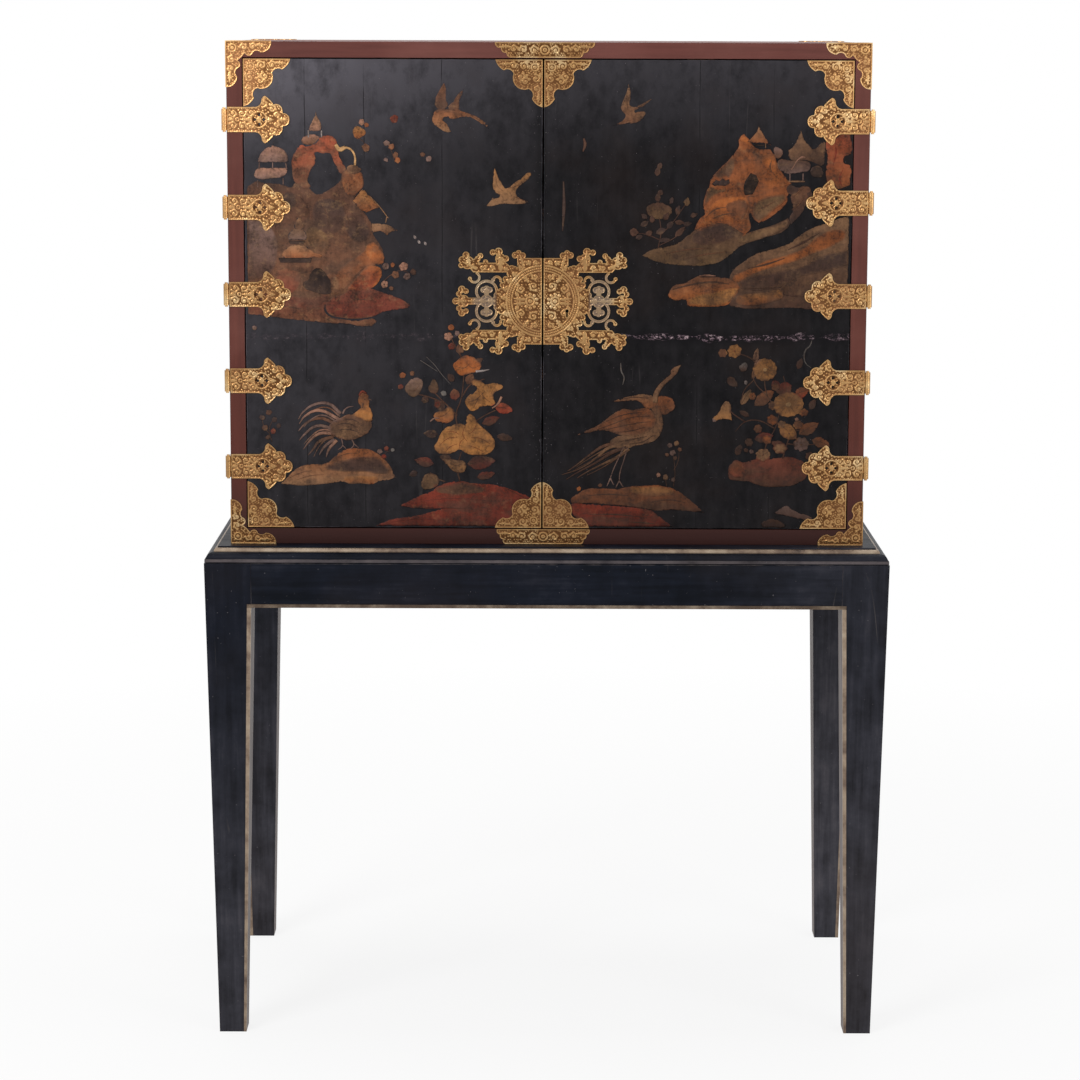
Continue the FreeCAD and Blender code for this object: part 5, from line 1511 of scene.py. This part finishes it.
# %% Peony and red ground
peony = Picture("peony_and_ground", "left", -130, 900)
peony.shapes("maroon", "wine", 0, """
    -122,-134! -102,-125 -77,-121 -55,-117 -37,-112 -20,-107 0,-104 40,-106 70,-110! 70,-134!""")
peony.shapes("maroon", "wine", 0.4, """
    -88,-104! -73,-97 -58,-89 -42,-83 -28,-74 -14,-69 2,-67 20,-70 40,-71 60,-74 80,-80 98,-87 116,-97!
    116,-133! 70,-132 30,-122 -15,-109 -40,-107 -62,-108""")
peony.shapes("umber", "brown", 1, "-35,-80 -20,-73 0,-69 25,-72 40,-80 18,-88 -10,-89")
peony.strokes("wine", 1, (0.8, 2.4, 0.8), """
    -70,-101 -30,-94 20,-94 70,-100 / -50,-108 0,-107 60,-114 / -100,-129 -60,-123 -20,-126 / 70,-78
    90,-88 110,-100""")
peony.strokes("umber", 0, (2.4, 1.4), """
    2,-68 -2,-48 4,-24 / -20,-68 -35,-62 -42,-54 / 0,8 -4,30 4,56 8,92 / -2,30 -20,48 -38,66 / -20,48
    -46,58 -66,62 / 4,56 18,76 38,84 / 4,116 -4,130 -12,146 / 20,18 38,30 54,38""")
peony.leaves(0, """
    34,18 20 28 13 wine umber / 52,44 -14 30 15 brick maroon / -30,2 176 22 12 dusk / 12,-42 8 44 20 dusk
    wine / -36,-42 168 30 14 wine dusk / 26,-62 14 30 12 wine umber / -4,52 100 18 15 brown wine / -20,36
    130 24 13 umber dusk / 12,76 60 18 13 brown umber / 46,60 60 18 9 umber dusk / 2,120 100 16 9 brown
    umber / -60,-54 200 14 9 dusk / -6,80 130 16 10 dusk umber / 55,0 -10 26 11 dusk umber / 22,106 30 16
    9 umber dusk / -10,-34 170 20 11 dusk umber""")
peony.shapes("dull_gold", "gold", 2, """
    -36,-16 -31,-8 -27,2 -20,11 -10,16 2,18 10,17 11,25 14,32 20,31 25,25 30,17 38,10 46,3 52,-5 53,-15
    48,-23 40,-28 28,-29 15,-27 8,-24 1,-20 -6,-24 -16,-27 -26,-27 -34,-22""")
peony.strokes("rust", 4, (0.4, 1.2, 0.5), """
    10,16 6,2 12,-8 / -28,-14 -16,-4 -2,-2 / 46,-12 32,-4 18,-2 / 1,-19 2,-10 8,-4 / -20,-24 -12,-16
    -2,-12 / 38,-25 26,-18 14,-14 / 26,18 22,8 14,2 / -18,6 -8,6 2,2""")
peony.shapes("dull_gold", "gold", 1, """
    9,51 13,58 22,65 27,70 20,75 18,81 30,82 40,76 50,78 58,77 65,72 58,67 52,63 51,56 54,50 50,45 40,44
    32,43 26,38 19,36 13,42""")
peony.shapes("rust", "orange", 1, """
    -8,105 -2,111 4,116 12,119 20,117 27,112 33,106 31,98 24,94 14,91 4,89 -2,92 -6,98""")
peony.shapes("dull_gold", "rust", 1, "-37,30 -30,36 -22,38 -15,43 -9,40 -6,32 -8,24 -16,19 -25,19 -33,22")
peony.shapes("dust", "olive", 1, "-79,70 -75,77 -68,84 -58,85 -52,79 -54,70 -59,61 -67,57 -74,61")
peony.shapes("olive", "umber", 1, "-44,68 -41,78 -36,84 -31,76 -30,66 -35,62")
peony.shapes("tan", "dull_gold", 2, "-21,-36 -13,-34 -3,-36 8,-38 11,-45 9,-52 1,-55 -8,-52 -15,-45")
peony.shapes("tan", "olive", 2, "-54,-65 -48,-57 -38,-56 -30,-62 -30,-72 -40,-78 -50,-80 -55,-74")
peony.strokes("brown", 3, (0.4, 1, 0.4), """
    14,50 26,54 36,64 / 46,50 38,56 32,66 / 22,42 26,50 30,58 / -4,102 8,100 16,106 / 28,102 20,100 12,108
    / -32,28 -22,30 -14,36 / -74,68 -66,66 -58,74 / -12,-40 -4,-44 4,-42""")
peony.blossoms(5, 1, 0.9, 5, """
    -11,159 5.5 rust / -15,146 7 rose / -2,151 4.5 dust / -10,132 6 wine / 4,126 5 brown / -82,89 5 rust /
    -85,72 4.5 wine / -68,92 4 brown / -49,53 6 dusk / -22,63 5 ash / -31,46 6 wine""")
peony.strokes("chalk", 2, (3.4, 3, 1), "25,95 35,96 45,98")
peony.strokes("rose", 3, (3.6, 3, 1.6), "63,58 57,47 49,41")
peony.strokes("dust", 3, (2.4, 2, 1), "-42,21 -35,26 -28,26")
peony.strokes("ash", 0, (0.7, 1.2, 0.6), "-47,116 -35,104 -26,92 -12,76 / -56,111 -42,102 -30,94")
peony.finish()

# %% [markdown]
# The right door's upper scene is a mountain with roofs behind it and a long shore below, seen over black
# water.

# %% Mountain of the right door
mountain = Picture("mountain", "right", 290, 1240)
mountain.shapes("rust", "rust", 0, """
    -15,92! -9,101 -3,97 3,89! 10,81 31,79! 38,70 41,59 45,56! 50,45 56,36 62,30! 57,23 59,13! 55,1 43,-11
    24,-24 15,-27! 7,-20 3,-13 1,-22 4,-36 -5,-45! -13,-39 -33,-33 -53,-33 -71,-37 -79,-40! -74,-28
    -69,-20 -63,-11 -66,-4! -63,10 -57,24 -55,36! -44,49 -33,60 -21,73 -15,84""")
mountain.shapes("tan", "umber", 1, "-23,71! -33,59 -44,49 -52,40! -44,37 -33,39 -28,35! -23,44 -19,56")
mountain.shapes("olive", "umber", 1, "-55,25 -63,10 -65,-3! -58,1 -53,8 -43,14 -30,18! -33,23 -44,22")
mountain.shapes("orange", "rust", 1, """
    -14,92! -9,100 -3,96 3,89 5,76 1,63 -7,50 -17,36 -25,23 -30,16! -21,13 -10,18 -7,30 -5,39 3,46 7,59
    8,72 8,80! / 14,68 28,74 37,70 40,59 43,47 53,38 62,30! 52,25 39,22 21,14 10,12! 14,23 23,33 33,39
    28,50 20,59""")
mountain.shapes("brown", "rust", 2, "7,79 14,76 21,68 23,56 28,47 24,39 15,39 8,47 7,61")
mountain.shapes("dusk", "dusk", 2, """
    -53,29! -47,35! -42,33! -38,37! -33,34! -28,36! -27,30! -34,26! -44,27! -49,26!""")
mountain.shapes("ink", "ink", 2, "-5,33! 3,45! 11,42! 15,33! 11,23! 6,14! -5,13! -7,24")
mountain.shapes("orange", "rust", 1, """
    -76,-37! -65,-20 -60,-10 -50,3 -33,11 -15,12 -1,10 3,1 1,-11 2,-22 4,-35 -5,-44! -12,-35 -21,-27
    -35,-25 -50,-28 -66,-33""")
mountain.shapes("brown", "rust", 2, "-33,-2 -21,5 -8,7 -1,1 -3,-13 -10,-26 -19,-25 -26,-17")
mountain.shapes("olive", "tan", 2, """
    6,-8 10,2 21,10 37,14 52,16! 56,10 49,0 39,-8 25,-20 16,-27! 8,-20""", rim="umber")
mountain.shapes("umber", "olive", 0, """
    -153,-75! -139,-66 -120,-62 -97,-54 -86,-44 -75,-36 -62,-30 -44,-27 -26,-30 -13,-39 3,-42 21,-36
    37,-31 52,-24 58,-19! 61,-27 56,-36 23,-49 -8,-60 -30,-78 -39,-83 -53,-88 -97,-89 -131,-84""")
mountain.shapes("tan", "olive", 1, "-8,-44! 14,-37 37,-30 57,-21! 59,-28 50,-37 23,-48 -4,-56 -13,-55")
mountain.shapes("dusk", "umber", 1, """
    -82,-51 -75,-40 -62,-32 -44,-27 -28,-30 -14,-38! -17,-46 -33,-55 -53,-60 -75,-59""")
mountain.shapes("brown", "dusk", 0, "61,10! 68,23 81,27 90,23 88,10 81,-8 70,-22 62,-30! 60,-20 65,-8")
mountain.strokes("brown", 3, (0.6, 1.9, 0.5), """
    15,79 14,70 10,61 / 33,63 31,54 34,45 / -33,54 -37,45 -44,41 / -62,-20 -48,-8 -30,-4 / -53,-22 -35,-15
    -15,-13 / 14,-8 28,-2 43,7 / -120,-73 -88,-66 -53,-64 / -93,-80 -62,-73 -30,-69 / 14,3 32,10 48,12 /
    -1,10 3,12 10,10 / 66,10 72,18 81,23 / 63,-8 74,1 81,10""")
mountain.finish()

# %% [markdown]
# A few roofs, a cluster of dark shapes and a red rock stand close to the door's outer edge. They overlap
# one another, so each has its own level.

# %% Roofs behind the mountain
roofs = Picture("roofs_and_red_rock", "right", 370, 1300)
roofs.shapes("tan", "rust", 3, "-66,52! -61,43 -55,34 -48,25! -60,28 -72,28 -82,30! -74,38 -69,45")
roofs.strokes("ink", 3, (1.5, 2.4, 1.5), "-73,26 -66,25 -58,25")
roofs.strokes("tan", 4, (1.6, 1.6), "-56,28 -56,21")
roofs.shapes("dust", "brown", 1, "-43,22 -36,21 -31,18 -33,9 -39,6 -43,12")
roofs.shapes("tan", "umber", 0, """
    -5,46! -1,36 6,26 14,20 22,26 29,32 31,22 30,5 28,-4 15,0 0,4 -14,2 -22,8 -23,18! -17,22 -10,34""")
roofs.shapes("umber", "dust", 1, "-36,4 -20,3 0,3 9,-1 8,-10 -5,-14 -20,-16 -32,-13 -38,-6")
roofs.shapes("dusk", "ink", 1, "10,-10 18,-4 26,-8 28,-18 20,-22 11,-18")
roofs.strokes("tan", 1, (2.4, 2.8, 2), "-22,-27 -10,-27 2,-27")
roofs.strokes("rose", 2, (1.4, 2.2, 1), "-18,-10 -4,8 2,8")
roofs.strokes("dust", 1, (1.8, 1.8), "-20,-15 -20,-27 / -1,-15 -1,-27")
roofs.shapes("dusk", "umber", 0, "-24,-32 -10,-34 4,-38 14,-46 0,-50 -18,-46 -26,-40")
roofs.shapes("brick", "rust", 0, """
    31,28 38,38 54,42 67,41! 67,12 60,10 58,0 67,-4 67,-32! 50,-38 40,-38 33,-28 32,-10 34,8""")
roofs.strokes("maroon", 1, (0.8, 2.6, 0.8), "44,34 46,14 42,-4 / 56,-10 52,-24 56,-34")
roofs.finish()

# %% [markdown]
# Long banks run down to the water. In one colour they would look poured, so each is laid in bands that
# follow its slope.

# %% Shore of the right door
shore = Picture("shore", "right", 320, 1140)
shore.shapes("tan", "umber", 0, """
    -56,-8! -52,5! -40,13 -20,27 7,35 29,43 47,56 62,65 80,72 117,85! 117,-40! 71,-52 29,-50 -16,-52
    -43,-50 -56,-45 -49,-31 -45,-18""")
shore.shapes("brown", "orange", 0, """
    -145,-32! -138,-20 -116,-12 -101,-4! -78,-5 -55,-8! -43,-13 -38,-22 -47,-36 -58,-46 -83,-49 -116,-49!
    -118,-39! -143,-37""")
shore.shapes("rust", "orange", 1, """
    -50,-2! -25,9 -2,20 24,27 51,38 73,56 100,65 114,58 96,40 65,27 36,15 7,7 -20,-2 -40,-13
    -51,-11""", rim="brown")
shore.shapes("dusk", "umber", 2, """
    -40,-16 -25,-5 -2,0 24,5 51,11 80,27 116,34! 116,13! 85,2 51,-4 24,-16 -2,-22 -27,-22""")
shore.shapes("dull_gold", "rust", 2, "-43,-33 -25,-29 -2,-27 20,-24 24,-33 7,-42 -16,-47 -36,-47 -47,-42")
shore.shapes("gold", "dull_gold", 1, """
    -118,-40! -101,-31 -78,-27 -60,-22 -40,-20! -50,-36 -60,-45 -85,-49 -113,-47!""")
shore.strokes("umber", 3, (1, 3, 1), """
    -138,-24 -116,-18 -83,-13 -56,-16 / -98,-6 -85,-5 -74,-6 / -38,-22 -16,-24 20,-20 / -29,7 -2,13 24,22
    / 24,-31 42,-33 65,-31 / 29,34 51,45 73,58""")
shore.strokes("rose", 3, (0.8, 1.8, 0.8), "-100,-4 -88,-3 -76,-4")
shore.finish()

# %% [markdown]
# A bird flies above a cluster of small leaves. The leaves are all one shape, so they are a list of places,
# turns, sizes and paints.

# %% Bird and leaf cluster of the right door
cluster = Picture("bird_and_leaf_cluster", "right", 140, 1240)
cluster.shapes("tan", "brown", 0, """
    -25,172! -22,162 -22,150 -22,141 -14,140 -3,145 9,151! -1,142 -11,136 -16,132 -8,133 -1,132 -1,126
    -8,119 -18,116 -30,115 -48,112! -39,117 -30,123 -29,128 -35,134 -35,142 -31,152 -27,162""")
cluster.strokes("brown", 2, (0.4, 1, 0.4), """
    -27,160 -27,146 -25,134 / -2,143 -14,137 -22,132 / -36,117 -24,120 -10,122""")
cluster.shapes("umber", "olive", 0, "2,-8 10,0 22,2 34,-2 40,-10 34,-18 22,-22 10,-19")
cluster.leaves(1, """
    60,-4 80 14 9 olive / 46,-16 70 16 7 dusk / 43,-26 -5 16 7 umber / 28,-24 60 14 8 umber / 32,-36 50 16
    8 dusk / -6,-32 30 14 8 dusk / -22,-41 0 14 12 umber / -13,-50 20 12 7 dusk / 1,-46 30 14 8 umber /
    16,-43 25 18 9 dusk / 44,-48 45 22 8 umber / 50,-16 110 12 7 umber / 56,-30 10 14 7 dusk / 12,-28 100
    12 7 umber / 36,0 60 12 7 dusk / 4,-22 140 12 7 dusk / 66,-18 20 12 8 umber / 20,-54 10 18 7 dusk""")
cluster.leaves(0, """
    18,3 80 14 8 dusk umber / 22,12 80 10 8 dusk umber / 17,40 80 14 8 dusk umber / 21,50 80 10 8 dusk
    umber""")
cluster.strokes("umber", 0, (1.4, 0.8), """
    20,-64 24,-40 20,-10 22,18 / 24,-44 40,-28 58,-2 / 22,-52 2,-44 -18,-42 / 22,-60 42,-50 60,-36""")
cluster.strokes("umber", 0, (2.6, 4.6, 2), "-89,94 -87,85 -90,75")
cluster.strokes("dusk", 0, (2, 5, 2), "-118,32 -117,-4 -119,-40")
cluster.finish()

# %% [markdown]
# Below the joint a long-tailed bird stands on a mound at the left, and a bush of round blossoms grows at the
# right. The bird's tail is painted first, then its breast and body, and its wings lie over them.

# %% Long-tailed bird on its mound
long_bird = Picture("long_tailed_bird", "right", 120, 880)
long_bird.shapes("rust", "umber", 0, """
    -85,-77 -75,-65 -60,-58 -40,-57 -20,-58 0,-55 25,-53 45,-52 60,-56 75,-62 88,-72 100,-82 112,-93!
    90,-91 65,-89 40,-90 10,-85 -20,-82 -50,-80 -70,-80""")
long_bird.shapes("dull_gold", "brown", 1, "0,-59 25,-54 50,-54 68,-62 48,-70 20,-68")
long_bird.shapes("maroon", "wine", 0, """
    -70,-112! -84,-81 -70,-80 -40,-82 -10,-84 20,-87 35,-90 45,-98 55,-106 66,-114! -70,-114!""")
long_bird.strokes("umber", 1, (0.8, 2.2, 0.8), """
    -60,-68 -30,-66 0,-68 / 30,-78 60,-74 84,-78 / -60,-96 -20,-96 20,-100 / 0,-107 20,-108 40,-110""")
for index, feather in enumerate(long_bird.lines("""
    -8,6 -28,4 -48,-12 -72,-28 -98,-37 / -4,4 -24,-4 -50,-20 -76,-34 -92,-44 / -12,10 -36,6 -58,-8 -76,-22
    -90,-32 / 0,2 -16,-10 -36,-20 -60,-32 -76,-42 / -10,4 -30,-4 -54,-16 -80,-30 / -2,0 -20,-14 -42,-28
    -62,-38 / -16,10 -36,0 -60,-14 -78,-26""")):
    paint = ("tan", "umber", "brown")[index % 3]
    widths = (6, 4.5, 2.4, 1.2) if index < 4 else (3, 2, 1)
    stroke(long_bird.art, feather, widths, paint, 1 + index % 2, "umber")
long_bird.shapes("rust", "brown", 1, "38,68 40,77 52,80 61,77 67,70 67,62 60,56 50,52 43,58")
long_bird.shapes("brown", "tan", 2, """
    36,76 45,62 48,50 50,40 48,28 42,18 32,11 20,8 8,6 -2,2 -12,1 -22,6 -28,12 -22,18 -8,22 10,23 26,27
    34,38 36,50 32,64""")
long_bird.shapes("tan", "rust", 3, """
    -27,71! -15,75 0,79 13,82 26,82 37,78 40,68 32,61 23,63 17,70 5,73 -12,71""")
long_bird.shapes("rust", "brown", 3, """
    -78,21! -65,28 -50,34 -38,42 -28,50 -18,57 -8,61 5,59 18,62 30,60 38,52 40,40 32,30 20,23 5,20 -12,22
    -25,26 -40,29 -58,26""", rim="brown")
long_bird.strokes("umber", 5, (0.5, 1.5, 0.5), """
    -60,25 -30,36 4,48 30,50 / -44,28 -16,34 14,40 32,42 / -22,26 2,28 24,34 / -34,42 -8,52 20,56 / -12,75
    8,78 28,76 / 0,9 20,12 36,22 / -16,12 6,16 26,20""")
long_bird.strokes("brown", 3, (4, 6, 6, 7, 8, 9), "66,120 63,111 53,102 44,92 39,82 37,70", foot="tan")
long_bird.shapes("tan", "brown", 5, "60,115 64,121 70,124 76,126! 72,120 69,113 64,110", step=2.0)
long_bird.strokes("ink", 7, (1.4, 1.4), "63,117 64,116")
long_bird.strokes("dust", 2, (2.2, 1.4), """
    -8,4 -16,-14 -23,-30 -27,-42 / -27,-42 -32,-54 / -27,-42 -22,-52 / -2,4 -7,-14 -13,-34 -14,-46 /
    -14,-46 -19,-56 / -14,-46 -8,-55""")
long_bird.blossoms(5, 1, 0.9, 5, """
    60,7 4 dust / 70,10 4.5 tan / 75,1 4 brown / 64,-4 5 dust / 56,-7 3.6 brown / 54,-40 5 tan / 65,-44 4
    dust / 44,-37 4 rose / -73,-58 4 orange / -42,-53 3.5 brown / 68,-12 3.6 umber""")
long_bird.strokes("umber", 0, (1.2, 0.7), "66,-54 68,-34 65,-6 / 56,-54 54,-42 / 66,-30 72,-18 74,0")
long_bird.finish()

# %% [markdown]
# The bush grows from a red rock. Its large blossoms have folds between their petals and a heart, and the
# smallest are only a scalloped edge, because finer work on them couldn't be seen.

# %% Bush of round blossoms
bush = Picture("blossom_bush", "right", 320, 930)
bush.shapes("russet", "umber", 0, """
    -54,-82 -51,-70 -43,-63! -32,-68 -20,-64 10,-62 40,-60 58,-68 66,-80 60,-92! 45,-101 20,-104 -5,-103
    -23,-96! -40,-95 -52,-92""")
bush.shapes("rust", "russet", 1, "-53,-82 -49,-70 -38,-66 -30,-74 -28,-85 -40,-91")
bush.strokes("umber", 0, (2.4, 1.2), """
    -2,-64 2,-40 14,-18 20,4 / 14,-18 -10,-6 -30,-8 -44,-22 / 20,4 2,30 -18,54 -17,82 / 2,30 -2,48 -2,60 /
    -18,54 -32,38 -36,20 / -17,82 -32,90 -44,92 / 20,4 30,38 25,60 / 26,-62 32,-40 40,-24 64,-18 / -30,-8
    -52,8 -58,18 / 32,-40 52,-42 80,-40""")
bush.leaves(0, """
    -17,16 38 38 17 rust brown / 38,46 205 26 19 wine umber / 42,32 20 24 15 rust maroon / 21,-12 -40 34
    20 dull_gold brown / 49,-26 30 34 17 rust brown / 68,-34 -18 30 15 rust brown / -37,16 58 30 10 olive
    tan / -17,78 80 24 9 tan rose / -58,58 -40 22 12 umber dusk / -37,66 60 16 12 ash umber / -16,-34 12
    30 15 wine dusk / 32,-50 150 28 14 umber wine / -20,54 80 18 6 dull_gold brown / 10,54 -60 20 12 wine
    dusk / -42,-58 70 18 10 dusk umber / 64,10 60 20 10 umber dusk / -24,0 150 18 8 dusk umber / 46,70 70
    18 9 dusk umber""")
bush.shapes("tan", "dull_gold", 1, "-77,-5 -70,5 -64,16 -57,23 -51,17 -51,6 -49,-6! -64,-4", step=2.0)
bush.blossom("-2,69", 18, 13, "dull_gold", "pale_gold", 2, 0.95, 8)
bush.blossom("33,18", 23, 15, "dull_gold", "pale_gold", 2, 0.82, 4)
bush.blossom("-47,96", 11, 7, "dull_gold", "rust", 2, 0.95, 20)
bush.blossom("-64,93", 7, 6, "brown", "umber", 1, 0.95, 0)
bush.blossom("-3,-57", 12, 7, "tan", "brown", 2, 0.85, 12)
bush.blossom("22,-47", 11, 6, "tan", "brown", 2, 0.75, 0)
bush.blossom("53,-41", 12, 7, "dust", "brown", 2, 0.95, 10)
bush.blossom("35,-25", 10, 6, "dull_gold", "brown", 2, 0.9, 30)
bush.blossoms(6, 1, 0.9, 1, """
    10,-5 9 rust / -11,-18 7 brown / 24,-12 7 tan / 2,-34 8 rust / 48,-12 8 brown / -24,-38 7 umber /
    66,-58 8 umber / 10,16 7 umber / 56,6 7 rust / 14,44 7 brown / -20,30 6 rust""")
bush.blossoms(5, 1, 0.9, 3, """
    -30,50 3.6 chalk / -75,-5 4 dust / 46,-4 3.4 rose / -28,-50 4 umber / -36,-46 3.6 dusk / -20,-52 4
    dust""")
bush.strokes("ash", 0, (1.2, 2.6, 1), """
    66,112 63,104 57,98 55,88 58,78 66,72 / -213,78 -212,66 -208,57 -210,46""")
bush.finish()

# %% [markdown]
# Two low hills close the scene near the door's lower corner. They are far away, so they have no detail.

# %% Small far hills
hills = Picture("far_hills", "right", 350, 780)
hills.shapes("dust", "umber", 0, "-16,7! -7,13 2,18 10,13 20,8 30,5 42,-1 48,-8 30,-4 10,1 -5,4")
hills.shapes("umber", "dusk", 0, "-34,-11 -25,-3 -15,-2 -4,-7 2,-12 -16,-14")
hills.finish()

# %% [markdown]
# ## Finishes of the nodes that keep their shape
# Small or hidden parts are right as they are and only need their finish.

# %% Finishes for the remaining nodes
def dress(material, slot, *nodes):
    for node in nodes:
        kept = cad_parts[node]
        kept.data.materials.clear()
        kept.data.materials.append(material)


dress(EBONISED["x"], "ebonised_wood", "stand_top")
dress(INSIDE_WOOD["x"], "inside_wood", "door_stops")
dress(INSIDE_WOOD["y"], "inside_wood", "shelf_bearers")
dress(INSIDE_WOOD["z"], "inside_wood", "back_panel", "glue_blocks")
dress(WORN_GILDING, "worn_gilding", "gilt_apron_beads", "gilt_leg_beads", "gilt_top_beads")
dress(GILT_BRASS, "gilt_brass", "left_hinge_pins", "right_hinge_pins", "carcase_nails", "left_door_nails",
      "right_door_nails")
dress(LOCK_IRON, "lock_iron", "lock_case", "lock_bolt", "lock_keeper", "upper_bolt", "lower_bolt",
      "bolt_guides")
print("nodes dressed")
